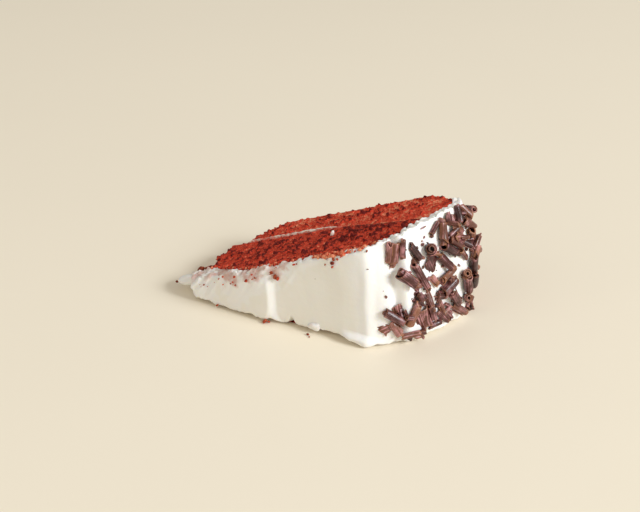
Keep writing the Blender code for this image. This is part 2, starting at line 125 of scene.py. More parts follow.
# Marks of the knife and the spatula, by distance along the frosting from the tip
RIDGE_AT = 38.4
RIDGE_WIDTH = 1.7
RIDGE_HEIGHT = 2.1
RIDGE_FORKS = (-3.4, 6.2)
RIDGE_FORKS_HEIGHT = 2.4
RIDGE_LEAN = 0.13
RIDGE_LEAN_FROM = 12.0
RIDGE_GROWS = (4.0, 36.0)
RIDGE_FADES = (17.0, 21.0)
SHOULDER_AT = 76.4
SHOULDER_WIDTH = 2.3
SHOULDER_HEIGHT = 0.4
SHOULDER_RAMP = (-20.0, 0.0)
SHOULDER_FALL = (-0.8, 4.2)
SHOULDER_RISE = 0.65
SHOULDER_LEAN = 0.2
SHOULDER_SHIFT = 3.5
CREASE_AT = 92.0
CREASE_WIDTH = 1.9
CREASE_DEPTH = 1.7
LIP_AT = 96.3
LIP_WIDTH = 2.6
LIP_HEIGHT = 1.3
LIP_HEIGHTS = (1.0, 9.0)
SWAY_MEAN = 0.5
SWAY_WAVE = 0.3
SWAY_LENGTH = 6.5
SWAY_START = 0.8
SWAY_UP = 3.0
SWAY_UP_HEIGHTS = (18.0, 46.0)
FLARE_FROM = (66.0, 73.0)
FLARE_TO = (78.0, 88.0)
FLARE_HEIGHT = 2.2
FLARE_TOP = (3.0, 5.8)
FLARE_LEAN = 0.12
FLARE_LEAN_FROM = 76.0
TUCK_DEPTH = 1.8
TUCK_HEIGHT = 5.0
TUCK_FROM_TO = (84.0, 98.0)
SIDE_FROM_TO = (82.0, 100.0)
# Swirls and drag lines: sizes along and up, layer, salt, height, and how much more on the side
SWIRLS = (
    (9.0, 14.0, 3.0, 4, 0.25, 0.75), (3.6, 7.0, 9.0, 6, 0.06, 0.42), (6.0, 1.3, 0.0, 8, 0.02, 0.0),
)
LOWER_EDGE = ((0.0, 1.6), (40.0, 1.4), (70.0, 2.7), (80.0, 1.2), (100.0, 1.3), (145.0, 1.0))
LOWER_EDGE_WAVES = ((0.45, 3.5, 61), (0.25, 1.3, 62))
LOWER_EDGE_LEAST = 0.25
# Notches in that edge: distance along it, height, width
NOTCHES = ((45.9, 3.0, 1.3), (36.0, 0.8, 1.2))
# The torn zone near the tip, and noise of the cut edge, of the torn tip and of the smears
TIP_ZONE = (38.0, 62.0)
CUT_EDGE_NOISE = ((0.65, 3.4, 71), (0.4, 1.5, 72))
TIP_NOISE = ((1.3, 3.2, 74), (0.5, 1.3, 75))
SMEAR_NOISE = ((0.7, 4.5, 76), (0.35, 1.8, 77))
# Points over the outside, over the cut edge, down the inside, under it and along the frosting
FROSTING_GRID = (148, 30, 16, 8)
FROSTING_LENGTH = 440
DRAG_CENTRE = (17.6, 8.4, 5.1)
DRAG_RADII = (5.4, 3.6, 2.1)
DRAG_TURN = -0.25
# A small lump on the frosting, and a dab of it on the cut face a little above the crumb
BLOB_AT = (56.2, 2.2)
BLOB_RADII = (2.7, 1.4, 1.7)
DAB_AT = (79.2, 29.4)
DAB_ANGLE = SLICE_ANGLE + 0.35 / 80.0
DAB_RADII = (0.6, 0.9, 2.0)
DAB_TURN = 0.6

# Chocolate curls
CURL_SEED = 21
CURL_THICK = 0.6
CURL_CLEARANCE = 0.4
CURL_ROUNDING = 0.16
CURL_LEAN = math.radians(20.0)
CURL_LEAN_FROM_TO = (114.0, 130.0)
CURL_LEAN_LIFT = 0.3
# Each kind: turns of the solid one, tilt of the axis, taper, then what shows: turns, radius by
# width, height of the axis by radius, and how far it closes as it turns
CURL_KINDS = {
    "roll": (1.12, 4.0, 0.12, 1.65, 0.50, 0.55, 0.52),
    "half": (0.52, 8.0, 0.10, 1.25, 0.49, 0.42, 0.42),
    "shard": (0.20, 14.0, 0.30, 0.20, 1.35, -0.72, 0.0),
    "scroll": (1.45, 62.0, 0.0, 2.1, 0.50, 0.55, 0.62),
    "cone": (1.02, 30.0, 0.45, 1.5, 0.50, 0.60, 0.45),
}
CURL_END_NOISE = ((0.32, 1.0, 91), (0.08, 0.3, 94))
# Curls that show smaller than the rest, by their number in the list
SMALLER_CURLS = {6: 0.5, 38: 0.75}
# Small curls that lie between and on the others: how many, and how far from one of them
SMALL_COUNT = 34
SMALL_AWAY = 3.0
# kind, distance along the frosting, angle above the lower cut, heading, length, width
CURLS = (
    ("roll", 95.6, 19.3, 68, 9.0, 4.2), ("half", 93.2, 19.8, 72, 8.4, 3.4),
    ("roll", 98.4, 19.7, 72, 6.5, 2.8), ("half", 96.9, 14.4, -48, 8.0, 6.2),
    ("half", 103.7, 17.8, -68, 9.0, 4.4), ("roll", 103.9, 12.9, -68, 13.0, 3.8),
    ("shard", 101.6, 11.4, -50, 6.0, 4.4), ("scroll", 110.2, 17.4, 150, 5.0, 5.4),
    ("shard", 102.9, 8.8, -42, 6.8, 4.0), ("roll", 98.6, 6.4, 60, 8.2, 4.4),
    ("shard", 104.3, 4.2, -62, 8.4, 6.6), ("roll", 90.2, 6.7, -36, 8.4, 4.0),
    ("cone", 93.5, 6.2, -88, 6.4, 4.2), ("half", 91.2, 3.8, -60, 7.2, 4.6),
    ("shard", 86.8, 4.2, 37, 4.0, 3.4), ("half", 96.4, 2.2, 5, 7.0, 3.0),
    ("half", 101.5, 1.9, -3, 6.4, 3.4), ("half", 115.6, 20.1, 38, 6.0, 2.6),
    ("roll", 118.9, 19.1, 74, 8.6, 4.4), ("roll", 120.4, 15.2, -43, 8.4, 4.2),
    ("half", 123.6, 15.9, -44, 8.0, 3.6), ("roll", 123.3, 18.1, 22, 6.6, 3.2),
    ("shard", 126.6, 17.2, -12, 8.0, 4.6), ("half", 127.4, 20.4, 70, 6.6, 3.4),
    ("cone", 131.4, 18.0, -40, 8.0, 4.6), ("half", 131.6, 20.2, -70, 7.0, 4.0),
    ("shard", 123.3, 20.5, -76, 5.0, 2.8), ("shard", 125.8, 19.6, 76, 6.4, 2.8),
    ("half", 133.6, 15.6, -55, 7.4, 4.2), ("roll", 133.2, 12.7, 88, 7.6, 4.4),
    ("half", 128.9, 14.8, -46, 5.6, 3.4), ("half", 126.1, 13.5, -48, 6.2, 3.2),
    ("roll", 131.8, 10.6, -70, 9.4, 3.8), ("scroll", 126.2, 9.8, 140, 5.0, 4.4),
    ("half", 128.2, 7.6, -70, 8.4, 4.8), ("shard", 111.4, 14.5, -62, 7.0, 5.8),
    ("half", 117.1, 13.6, -55, 8.0, 4.8), ("roll", 117.9, 11.1, 17, 9.6, 3.6),
    ("half", 110.8, 11.1, -58, 7.2, 4.6), ("half", 117.9, 8.5, 24, 8.4, 5.2),
    ("roll", 114.3, 7.4, -16, 6.2, 4.2), ("cone", 107.6, 7.0, -84, 6.4, 4.2),
    ("half", 108.3, 4.7, -74, 7.0, 3.8), ("half", 113.8, 5.5, -70, 9.0, 3.4),
    ("roll", 121.0, 5.8, -54, 9.2, 4.6), ("scroll", 128.6, 4.5, 150, 4.4, 4.2),
    ("half", 123.9, 3.1, -44, 7.0, 4.4), ("half", 114.1, 3.3, -48, 7.0, 3.4),
    ("shard", 119.2, 2.6, -34, 6.4, 3.4), ("half", 110.5, 2.3, 4, 6.0, 3.2),
    ("half", 133.0, 7.2, -60, 7.0, 4.2), ("shard", 132.8, 3.6, 20, 6.0, 4.0),
)
BACK_ROWS = (136.0, 138.8)
BACK_COUNT = 4
# Curls of a lighter brown, by their number in the list
LIGHT_CURLS = (29, 38)
TONE_SEED = 5
# Chips between the curls: where along the frosting, at which angles, and their sizes
CHIP_SEED = 17
CHIPS_ALONG = (98.0, 142.0)
CHIPS_ANGLES = (1.6, 20.8)
CHIP_SIZES = (0.7, 2.1)
# One thin flake by the cut: distance along the frosting, angle and radii
FLAKE_AT = (112.0, 21.2)
FLAKE_RADII = (1.9, 0.35, 0.25)

# Larger red crumbs on the frosting: distance along it, height above the floor, size
NAMED_CRUMBS = (
    (42.0, 21.4, 2.2), (42.9, 20.6, 1.5), (41.0, 22.7, 1.5), (41.8, 20.4, 1.1), (40.4, 22.0, 0.9),
    (70.1, 33.4, 1.7), (69.4, 31.6, 1.1), (71.0, 35.0, 1.3), (66.4, 31.8, 0.8), (72.6, 35.4, 1.1),
    (28.8, 17.0, 1.3), (28.0, 16.5, 0.8), (33.2, 19.2, 1.1), (31.9, 18.4, 0.8), (14.9, 14.0, 0.9),
    (21.7, 14.5, 0.8), (7.7, 8.7, 0.6), (34.6, 0.8, 2.1), (36.0, 0.6, 1.2), (11.3, 1.4, 1.1),
    (23.4, 17.2, 1.2), (17.5, 15.6, 0.9),
)
# Crumb smeared into the frosting: distance along it, height, reach, strength
NAMED_SMEARS = (
    (33.0, 19.4, 2.6, 0.9), (28.9, 17.3, 1.6, 0.8), (21.7, 14.8, 2.0, 0.55), (42.0, 21.5, 1.8, 0.7),
    (70.3, 33.6, 1.5, 0.6), (16.5, 14.6, 1.6, 0.5), (27.0, 19.6, 2.2, 0.5),
)
# Dark chocolate specks on the frosting: distance along it, height above the floor, size
SPECKS = ((83.7, 33.5, 0.9), (88.2, 21.9, 1.2), (87.6, 24.3, 0.5), (59.9, 24.4, 0.4))
# Crumb clumps along the sponge's edge: how many, how many of them orange, between which distances
CRUMB_SEED = 29
EDGE_COUNT = 340
ORANGE_COUNT = 120
ORANGE_FROM_TO = (60.0, 85.0)
# Loose crumbs on the floor, at the end of the dragged lump and near the tip: place, size
FREE_CRUMBS = (
    (79.2, -2.9, 0.4, 1.0), (80.6, -4.2, 0.3, 0.6),
    (10.6, 8.2, 2.3, 1.3), (11.6, 8.1, 2.6, 1.0), (20.6, 12.0, 9.0, 2.3), (23.2, 11.9, 9.9, 1.4),
    (19.2, 12.0, 8.4, 1.1), (24.9, 12.2, 10.5, 1.0),
)

# Camera, from the fit to the photograph's view
CAMERA_ELEVATION = math.radians(26.04)
CAMERA_AZIMUTH = math.radians(27.0)
CAMERA_ROLL = math.radians(0.848)
CAMERA_DISTANCE = 0.620
CAMERA_TARGET = (65.2, 34.5, 16.0)
CAMERA_LENS = 83.15
# Grains are longer along its line of sight, where the low view squeezes them
GRAIN_STRETCH = 2.2

# Lights: direction from the slice, distance, width, colour
KEY_LIGHT = ((0.89, -0.04, 0.50), 3.2, 1.0, (0.935, 0.965, 1.0))
FILL_LIGHT = ((-0.5, -1.0, 0.8), 1.6, 1.0, (1.0, 0.94, 0.84))
SKY_COLOUR = (1.0, 0.955, 0.865, 1.0)
FLOOR_HALF = 3.0


# Curves


def spline_at(marks, number):
    """Point of the smooth curve through the marks at running mark numbers: between two marks,
    the cubic whose slope at each is half the step from the mark before to the mark after."""
    marks = np.array(marks, float)
    ends = np.vstack([2 * marks[0] - marks[1], marks, 2 * marks[-1] - marks[-2]])
    i = np.clip(number.astype(int), 0, len(marks) - 2)
    t = (number - i)[:, None]
    a, b, c, d = (ends[i + k] for k in range(4))
    even = (2 * b + (c - a) * t + (2 * a - 5 * b + 4 * c - d) * t**2) * 0.5
    return even + (3 * b - a - 3 * c + d) * 0.5 * t**3


def distances(points):
    """Running length of a line of points."""
    return np.concatenate([[0.0], np.cumsum(np.hypot(*np.diff(points, axis=0).T))])


def smooth_path(marks, count):
    """Points at even distances on the smooth curve through the marks."""
    fine = spline_at(marks, np.linspace(0.0, len(marks) - 1, 24 * len(marks)))
    along = distances(fine)
    places = np.linspace(0.0, along[-1], count)
    return np.stack([np.interp(places, along, fine[:, k]) for k in range(2)], axis=1)


def border(marks):
    """A border curve through the marks, called with shares of its length."""
    points = smooth_path(marks, 400)
    along = distances(points) / distances(points)[-1]

    def at(share):
        """Points of the border, straight between its finely spaced points."""
        return np.stack([np.interp(share, along, points[:, k]) for k in range(2)], axis=-1)

    return at


def ease(value, start, end):
    """Smooth step from nought at the start to one at the end: 3t squared less 2t cubed."""
    t = np.clip((value - start) / (end - start), 0.0, 1.0)
    return t * t * (3.0 - 2.0 * t)


def hump(value, centre, width):
    """Bell of height one: e to the minus squared distance in widths."""
    return np.exp(-(((value - centre) / width) ** 2))


def filling_depth(radius):
    """Depth of the middle of the cream: level, then bowed towards the frosted top."""
    return FILLING_DEPTH - FILLING_BOW * ease(radius, *FILLING_BOW_FROM_TO)


def place(radius, depth, angle):
    """Point at a radius from the cake's axis, a depth and an angle above the lower cut, leaned
    outwards at the far end in proportion to the angle."""
    lean = LEAN_OUT * ease(depth, *LEAN_DEPTHS) * ease(radius, *LEAN_RADII)
    radius = radius + lean * angle / SLICE_ANGLE
    return np.stack([radius * np.cos(angle), depth, radius * np.sin(angle)], axis=-1)


def shrunk_outside():
    """Outside of the sponge, drawn in by the gap that the solids keep to the frosting."""
    points = smooth_path(SPONGE_OUTSIDE, 200)
    step = np.gradient(points, axis=0)
    step /= np.hypot(*step.T)[:, None]
    return points + JOIN_GAP * np.stack([-step[:, 1], step[:, 0]], axis=1)


def crossing(points, offset):
    """Number of the point where a line first lies behind the cream, and where it crosses it."""
    side = points[:, 1] - filling_depth(points[:, 0]) - offset
    late = np.arange(len(points)) > len(points) // 2
    k = int(np.argmax((side > 0) & late))
    t = side[k - 1] / (side[k - 1] - side[k])
    return k, points[k - 1] * (1 - t) + points[k] * t


# Uneven surfaces


def scatter_value(cells, salt):
    """Even value from 0 to 1 for whole-number cells: products of the numbers, folded twice."""
    mixed = cells[..., 0] * 374761393 + cells[..., 1] * 668265263 + cells[..., 2] * 1442695041
    mixed = (mixed + salt * 974634777) & 0xFFFFFFFF
    mixed = ((mixed ^ (mixed >> 13)) * 1274126177) & 0xFFFFFFFF
    return ((mixed ^ (mixed >> 16)) & 0xFFFFFF) / 0xFFFFFF


def soft_noise(points, size, salt):
    """Smooth noise from -1 to 1: values at the corners of cells of a size, eased between."""
    scaled = points / size
    cell = np.floor(scaled).astype(np.int64)
    part = scaled - cell
    part = part * part * (3.0 - 2.0 * part)
    total = 0.0
    for corner in np.ndindex(2, 2, 2):
        weight = np.prod(np.where(corner, part, 1.0 - part), axis=-1)
        total = total + scatter_value(cell + corner, salt) * weight
    return 2.0 * total - 1.0


def mixed_noise(points, noises):
    """Sum of smooth noises, each with its height, cell size and salt."""
    return sum(height * soft_noise(points, size, salt) for height, size, salt in noises)


def noise_over(first, second, third, salt):
    """Smooth noise over three running values, in cells of size one."""
    return soft_noise(np.stack(np.broadcast_arrays(first, second, third), axis=-1), 1.0, salt)


def seed_distance(points, size, salt):
    """Distance in cell sizes to the nearest of one seed point a cell, and that seed's value."""
    scaled = points / size
    cell = np.floor(scaled).astype(np.int64)
    best = np.full(points.shape[:-1], 9.0)
    owner = np.zeros(points.shape[:-1])
    for step in np.ndindex(3, 3, 3):
        near = cell + step - 1
        seed = near + np.stack([scatter_value(near, salt + k) for k in range(3)], axis=-1)
        away = np.sqrt(((scaled - seed) ** 2).sum(axis=-1))
        owner = np.where(away < best, scatter_value(near, salt + 7), owner)
        best = np.minimum(away, best)
    return best, owner


def dome(distance, own):
    """Rounded top over each seed: root of one less the squared distance, some higher."""
    return np.sqrt(np.clip(1.0 - (distance / DOME_REACH) ** 2, 0.0, 1.0)) * (0.5 + 0.5 * own)


def crumb_relief(points):
    """Height of open crumb in mm: slow waves, rounded clumps and the grains on them, with gaps
    between, and round holes here and there."""
    relief = mixed_noise(points, CRUMB_WAVES) - CRUMB_MIDDLE
    for height, size, salt in CRUMB_LUMPS:
        relief = relief + height * dome(*seed_distance(points, size, salt))
    deep, size, salt = CRUMB_HOLES
    hole, strength = seed_distance(points, size, salt)
    return relief - deep * (1.0 - ease(hole, *HOLE_REACH)) * ease(strength, *HOLE_OPEN)


def outward(points):
    """Unit normals of a grid whose columns close on themselves: cross of its two steps."""
    down = np.gradient(points, axis=0)
    round_it = 0.5 * (np.roll(points, -1, axis=1) - np.roll(points, 1, axis=1))
    normal = np.cross(round_it, down)
    length = np.linalg.norm(normal, axis=-1, keepdims=True)
    return normal / np.maximum(length, 1e-9)


# Meshes


def tube_faces(rows, columns, start=0):
    """Quads of a grid whose columns close on themselves, with a fan of triangles at each end
    round the two points that follow the grid."""
    index = start + np.arange(rows * columns).reshape(rows, columns)
    across = np.roll(index, -1, axis=1)
    quads = np.stack([index[:-1], index[1:], across[1:], across[:-1]], axis=-1).reshape(-1, 4)
    first = start + rows * columns
    low = np.stack([np.full(columns, first), index[0], across[0]], axis=-1)
    high = np.stack([np.full(columns, first + 1), across[-1], index[-1]], axis=-1)
    return quads.tolist() + low.tolist() + high.tolist()


def tube_points(grid):
    """Points of such a grid, then the middle of its first and of its last row."""
    ends = [grid[0].mean(axis=0), grid[-1].mean(axis=0)]
    return np.vstack([grid.reshape(-1, 3), ends])


def tube_values(grid):
    """Values of such a grid, then the mean of its first and of its last row."""
    return np.concatenate([grid.ravel(), [grid[0].mean(), grid[-1].mean()]])


def add_object(name, data):
    """Links a new object to the scene."""
    made = bpy.data.objects.new(name, data)
    bpy.context.scene.collection.objects.link(made)
    return made


def add_piece(name, points, faces, material, nodes, slot, values, smooth=True):
    """Makes a mesh of points in mm from the cake's axis and puts it on the model."""
    mesh = bpy.data.meshes.new(name)
    mesh.from_pydata(((points - CAKE_AXIS) * MM).tolist(), [], faces)
    mesh.polygons.foreach_set("use_smooth", [smooth] * len(mesh.polygons))
    for key, value in values.items():
        layer = mesh.attributes.new(key, "FLOAT", "POINT")
        layer.data.foreach_set("value", np.ascontiguousarray(value, np.float32))
    mesh.materials.append(material)
    mesh.validate()
    piece = add_object(name, mesh)
    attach(piece, "root")
    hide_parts(*nodes)


def add_tube(name, grid, material, nodes, slot, **values):
    """Puts a closed tube over a grid of points on the model, with values kept at its points."""
    kept = {key: tube_values(value) for key, value in values.items()}
    add_piece(name, tube_points(grid), tube_faces(*grid.shape[:2]), material, nodes, slot, kept)


def small_ball(rows=4, columns=7):
    """Points and faces of a ball of radius one, by latitude and longitude."""
    latitude = np.linspace(0.0, math.pi, rows + 2)[1:-1, None]
    longitude = np.linspace(0.0, 2.0 * math.pi, columns, endpoint=False)[None]
    flat = np.sin(latitude)
    grid = np.stack(
        [flat * np.cos(longitude), flat * np.sin(longitude), np.cos(latitude) + 0 * longitude],
        axis=-1,
    )
    points = np.vstack([grid.reshape(-1, 3), [[0, 0, 1], [0, 0, -1]]])
    return points, tube_faces(rows, columns)


def random_turns(count, draw):
    """Rotation matrices of random quaternions."""
    q = draw.normal(size=(count, 4))
    q /= np.linalg.norm(q, axis=1, keepdims=True)
    a, b, c, d = q.T
    return np.stack(
        [
            np.stack([1 - 2 * (c * c + d * d), 2 * (b * c - a * d), 2 * (b * d + a * c)], -1),
            np.stack([2 * (b * c + a * d), 1 - 2 * (b * b + d * d), 2 * (c * d - a * b)], -1),
            np.stack([2 * (b * d - a * c), 2 * (c * d + a * b), 1 - 2 * (b * b + c * c)], -1),
        ],
        axis=1,
    )


def scattered_lumps(centres, sizes, draw, roughness, flatness):
    """Small uneven balls at centres: each ball stretched, dented by noise, turned and moved."""
    ball, faces = small_ball()
    count = len(centres)
    stretch = draw.uniform(0.75, 1.25, (count, 1, 3)) * np.array([1.0, 1.0, flatness])
    body = ball[None] * stretch
    shift = draw.uniform(0, 50, (count, 1, 3))
    body = body * (1.0 + roughness * soft_noise(body + shift, 0.9, 5)[..., None])
    body = np.einsum("nij,nkj->nki", random_turns(count, draw), body)
    points = centres[:, None] + 0.5 * sizes[:, None, None] * body
    step = len(ball)
    all_faces = [[i + k * step for i in face] for k in range(count) for face in faces]
    return points.reshape(-1, 3), all_faces


# The frosting's own surface


FROSTING_LINE = smooth_path(FROSTING_OUTSIDE, 400)
FROSTING_ALONG = distances(FROSTING_LINE)
MARKS_ALONG = np.array(
    [FROSTING_ALONG[np.argmin(np.hypot(*(FROSTING_LINE - m).T))] for m in FROSTING_OUTSIDE]
)
FILLING_RIM = crossing(shrunk_outside(), 0.0)[1][0] - RIM_GAP
CAKE_AXIS = np.array(
    [
        FILLING_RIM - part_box("filling")[1].x / MM,
        CAKE_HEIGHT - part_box("sponge_base")[1].y / MM,
        -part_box("sponge_base")[0].z / MM,
    ]
)


def frosting_line(along):
    """Radius, depth and unit step of the frosting's outside at distances from its tip."""
    at, ahead, behind = (
        np.stack([np.interp(place_on, FROSTING_ALONG, line) for line in FROSTING_LINE.T], -1)
        for place_on in (along, along + 0.5, along - 0.5)
    )
    step = ahead - behind
    step = step / np.linalg.norm(step, axis=-1, keepdims=True)
    return at[..., 0], at[..., 1], step


def sponge_line(along):
    """Radius and depth of the sponge under the frosting at distances from the frosting's tip."""
    number = np.interp(along, MARKS_ALONG, np.arange(len(MARKS_ALONG)))
    return spline_at(SPONGE_OUTSIDE, number)


def flare_share(along, height):
    """Share of the flare at the frosting's foot, from nought to one."""
    reach = ease(along, *FLARE_FROM) * (1.0 - ease(along, *FLARE_TO))
    lean = FLARE_LEAN * np.maximum(along - FLARE_LEAN_FROM, 0.0)
    return reach * (1.0 - ease(height + lean, *FLARE_TOP))


def frosting_relief(along, angle, radius):
    """How far the frosting stands proud, in mm: a forked step where the spatula stopped, a low
    ramp and a hump at the shoulder, a crease and a lip at the turn of the side, a flare at the
    foot, slow swirls and fine drag lines."""
    height = radius * np.sin(angle)
    proud = 0.0
    for fork in RIDGE_FORKS:
        lean = RIDGE_LEAN * (height - RIDGE_LEAN_FROM) + fork * np.exp(-height / RIDGE_FORKS_HEIGHT)
        step = 1.0 - ease(along - RIDGE_AT - lean, -RIDGE_WIDTH, RIDGE_WIDTH)
        proud = proud + 0.5 * RIDGE_HEIGHT * step
    proud = proud * ease(along, *RIDGE_GROWS) * (1.0 - 0.5 * ease(height, *RIDGE_FADES))
    past = along - SHOULDER_AT - np.maximum(SHOULDER_LEAN * height, SHOULDER_SHIFT)
    proud = proud + SHOULDER_HEIGHT * hump(past, 0.0, SHOULDER_WIDTH)
    ramp = ease(past, *SHOULDER_RAMP) * (1.0 - ease(past, *SHOULDER_FALL))
    proud = proud + SHOULDER_RISE * ramp
    sway = SWAY_MEAN + SWAY_WAVE * np.sin(height / SWAY_LENGTH + SWAY_START)
    sway = sway + SWAY_UP * ease(height, *SWAY_UP_HEIGHTS)
    crease = hump(along, CREASE_AT + sway, CREASE_WIDTH) * ease(height, *LIP_HEIGHTS)
    proud = proud - CREASE_DEPTH * crease
    proud = proud + LIP_HEIGHT * hump(along, LIP_AT + sway, LIP_WIDTH)
    proud = proud + FLARE_HEIGHT * flare_share(along, height)
    proud = proud - TUCK_DEPTH * ease(along, *TUCK_FROM_TO) * np.exp(-height / TUCK_HEIGHT)
    side = ease(along, *SIDE_FROM_TO)
    for wide, high, layer, salt, even, more in SWIRLS:
        swirl = noise_over(along / wide, height / high, layer, salt)
        proud = proud + (even + more * side) * swirl
    return proud


def on_frosting(along, angle):
    """Points on the frosting's outside with its outward, sideways and upward directions."""
    along = np.asarray(along, float)
    angle = np.asarray(angle, float)
    radius, depth, step = frosting_line(along)
    zero = np.zeros_like(angle)
    out = np.stack([np.cos(angle), zero, np.sin(angle)], -1)
    down_side = out * step[..., :1] + np.array([0.0, 1.0, 0.0]) * step[..., 1:]
    normal = out * step[..., 1:] - np.array([0.0, 1.0, 0.0]) * step[..., :1]
    upwards = np.stack([-np.sin(angle), zero, np.cos(angle)], -1)
    proud = frosting_relief(along, angle, radius)
    return place(radius, depth, angle) + proud[..., None] * normal, normal, down_side, upwards


# Shader sums


class Term:
    """A shader socket that takes part in sums, written as ordinary Python sums."""

    def __init__(self, paint, socket):
        self.paint = paint
        self.socket = socket

    def __add__(self, other):
        return self.paint.math("ADD", self, other)

    def __sub__(self, other):
        return self.paint.math("SUBTRACT", self, other)

    def __rsub__(self, other):
        return self.paint.math("SUBTRACT", other, self)

    def __mul__(self, other):
        return self.paint.math("MULTIPLY", self, other)

    __radd__ = __add__


class Paint:
    """A material with its Principled shader, and the few ways of adding nodes to it."""

    def __init__(self, name, **constants):
        self.material = bpy.data.materials.new(name)
        self.material.use_nodes = True
        self.tree = self.material.node_tree
        self.shader = self.tree.nodes["Principled BSDF"]
        for socket, value in constants.items():
            self.shader.inputs[socket.replace("_", " ")].default_value = value
        self.where = Term(self, self.tree.nodes.new("ShaderNodeTexCoord").outputs["Object"])

    def put(self, socket, value):
        """Links a term to a socket, or sets the socket to a plain value."""
        if isinstance(value, Term):
            self.tree.links.new(value.socket, socket)
        else:
            socket.default_value = value

    def node(self, kind, output, settings=None, **values):
        """Adds a node of any kind and gives one of its outputs."""
        made = self.tree.nodes.new(kind)
        for key, value in (settings or {}).items():
            setattr(made, key, value)
        for key, value in values.items():
            self.put(made.inputs[key.replace("_", " ")], value)
        return Term(self, made.outputs[output])

    def math(self, operation, *values):
        """Adds one sum of two values."""
        made = self.tree.nodes.new("ShaderNodeMath")
        made.operation = operation
        for socket, value in zip(made.inputs, values):
            self.put(socket, value)
        return Term(self, made.outputs[0])

    def step(self, value, start, end):
        """Smooth step of a value from nought to one."""
        return self.node(
            "ShaderNodeMapRange", 0, {"interpolation_type": "SMOOTHSTEP"},
            Value=value, From_Min=start, From_Max=end,
        )

    def blend(self, share, first, second):
        """Mixes two colours by a share."""
        made = self.tree.nodes.new("ShaderNodeMix")
        made.data_type = "RGBA"
        self.put(made.inputs[0], share)
        self.put(made.inputs[6], first)
        self.put(made.inputs[7], second)
        return Term(self, made.outputs[2])

    def noise(self, scale, detail, roughness):
        """Noise on the object's own coordinates, from nought to one."""
        return self.node(
            "ShaderNodeTexNoise", 0, None,
            Vector=self.where, Scale=scale, Detail=detail, Roughness=roughness,
        )

    def cells(self, scale):
        """Distance to the nearest of scattered points on the object's own coordinates."""
        return self.node("ShaderNodeTexVoronoi", 0, None, Vector=self.where, Scale=scale)

    def value(self, name):
        """A number kept at each point of the mesh."""
        return self.node("ShaderNodeAttribute", "Fac", {"attribute_name": name})

    def bump(self, height, distance, strength):
        """Turns a height into a tilt of the surface."""
        return self.node(
            "ShaderNodeBump", 0, None, Height=height, Distance=distance, Strength=strength
        )

    def finish(self, **values):
        """Feeds the shader's sockets and gives the material."""
        for key, value in values.items():
            self.put(self.shader.inputs[key.replace("_", " ")], value)
        return self.material


def sponge_paint(name, looks):
    """Open red crumb, coloured by its relief: darker in the holes as painted shade, and
    orange-red where grains catch the light as painted highlight.
    """
    paint = Paint(name, Subsurface_Weight=0.12, Subsurface_Scale=0.002, IOR=1.4)
    paint.shader.inputs["Subsurface Radius"].default_value = (1.0, 0.25, 0.15)
    paint.shader.inputs["Specular IOR Level"].default_value = 0.35
    paint.where = paint.node(
        "ShaderNodeMapping", 0, {"vector_type": "TEXTURE"},
        Vector=paint.where, Rotation=(0.0, 0.0, CAMERA_AZIMUTH), Scale=(1.0, GRAIN_STRETCH, 1.0),
    )
    crumb = paint.value("crumb")
    fine = paint.noise(1700.0, 3.0, 0.6)
    middle = paint.noise(520.0, 2.0, 0.5)
    patch = paint.noise(130.0, 2.0, 0.5)
    grain = paint.cells(1300.0)
    # Painted shade and highlight: the crumb value, the relief's height, darkens low places towards the
    # hole shade and lightens high grains towards the tip highlight
    tone = crumb * 1.2 + (middle - 0.5) * 2.2 + (fine - 0.5) * 2.6 + (patch - 0.5) * 0.8
    dark_to_mid = paint.blend(paint.step(tone, -0.85, 0.15), looks.hole_shade_colour, looks.crumb_colour)
    colour = paint.blend(paint.step(tone, 0.3, 1.2), dark_to_mid, looks.tip_highlight_colour)
    cream = paint.value("cream")
    colour = paint.blend(paint.step(cream + (fine - 0.5) * 0.6, 0.4, 0.75), colour, looks.smear_colour)
    bare = paint.step(patch + (fine - 0.5) * 0.5, 0.3, 0.7) * 0.6
    baked = paint.blend(bare, looks.crust_colour, colour)
    colour = paint.blend(paint.value("crust"), colour, baked)
    rough = 0.82 + (fine - 0.5) * 0.2
    height = fine * 0.6 + (1.0 - grain) * 0.4
    return paint.finish(
        Base_Color=colour, Roughness=rough, Normal=paint.bump(height, 0.0006, looks.grain_strength)
    )


def cream_paint(name, looks, plain, crumbed):
    """White frosting or cream: soft and slightly see-through, with crumb smeared into it, white
    along its torn edge and, as painted highlight, on its lit raised parts.
    """
    paint = Paint(name, Subsurface_Weight=0.22, Subsurface_Scale=0.0012, IOR=1.42)
    paint.shader.inputs["Subsurface Radius"].default_value = (1.0, 0.8, 0.55)
    paint.shader.inputs["Specular IOR Level"].default_value = 0.45
    smear = paint.value("smear")
    fine = paint.noise(900.0, 4.0, 0.6)
    cloud = paint.noise(120.0, 3.0, 0.5)
    streak = paint.noise(420.0, 2.0, 0.6)
    base = paint.blend(cloud, plain, looks.frosting_shade)
    # Painted highlight: a low smear value, laid along the torn edge and over the lit raised parts,
    # turns the colour to the torn white
    whiter = paint.blend(paint.step(smear, 0.03, 0.16) * (1.0 - crumbed), base, looks.torn_and_highlight_colour)
    pink = paint.blend(
        paint.step(smear + (streak - 0.5) * 0.9, 0.42, 1.05) * 0.7, whiter, looks.smear_colour
    )
    spots = paint.step(smear * 0.5 + fine + (crumbed - 0.5) * 0.3, 1.07, 1.2)
    colour = paint.blend(spots * 0.8, pink, looks.crumb_colour)
    rough = looks.frosting_roughness + (streak - 0.5) * 0.18 + smear * 0.2
    height = fine * 0.25 + streak * 0.75
    return paint.finish(
        Base_Color=colour, Roughness=rough, Normal=paint.bump(height, 0.00035, 0.35)
    )


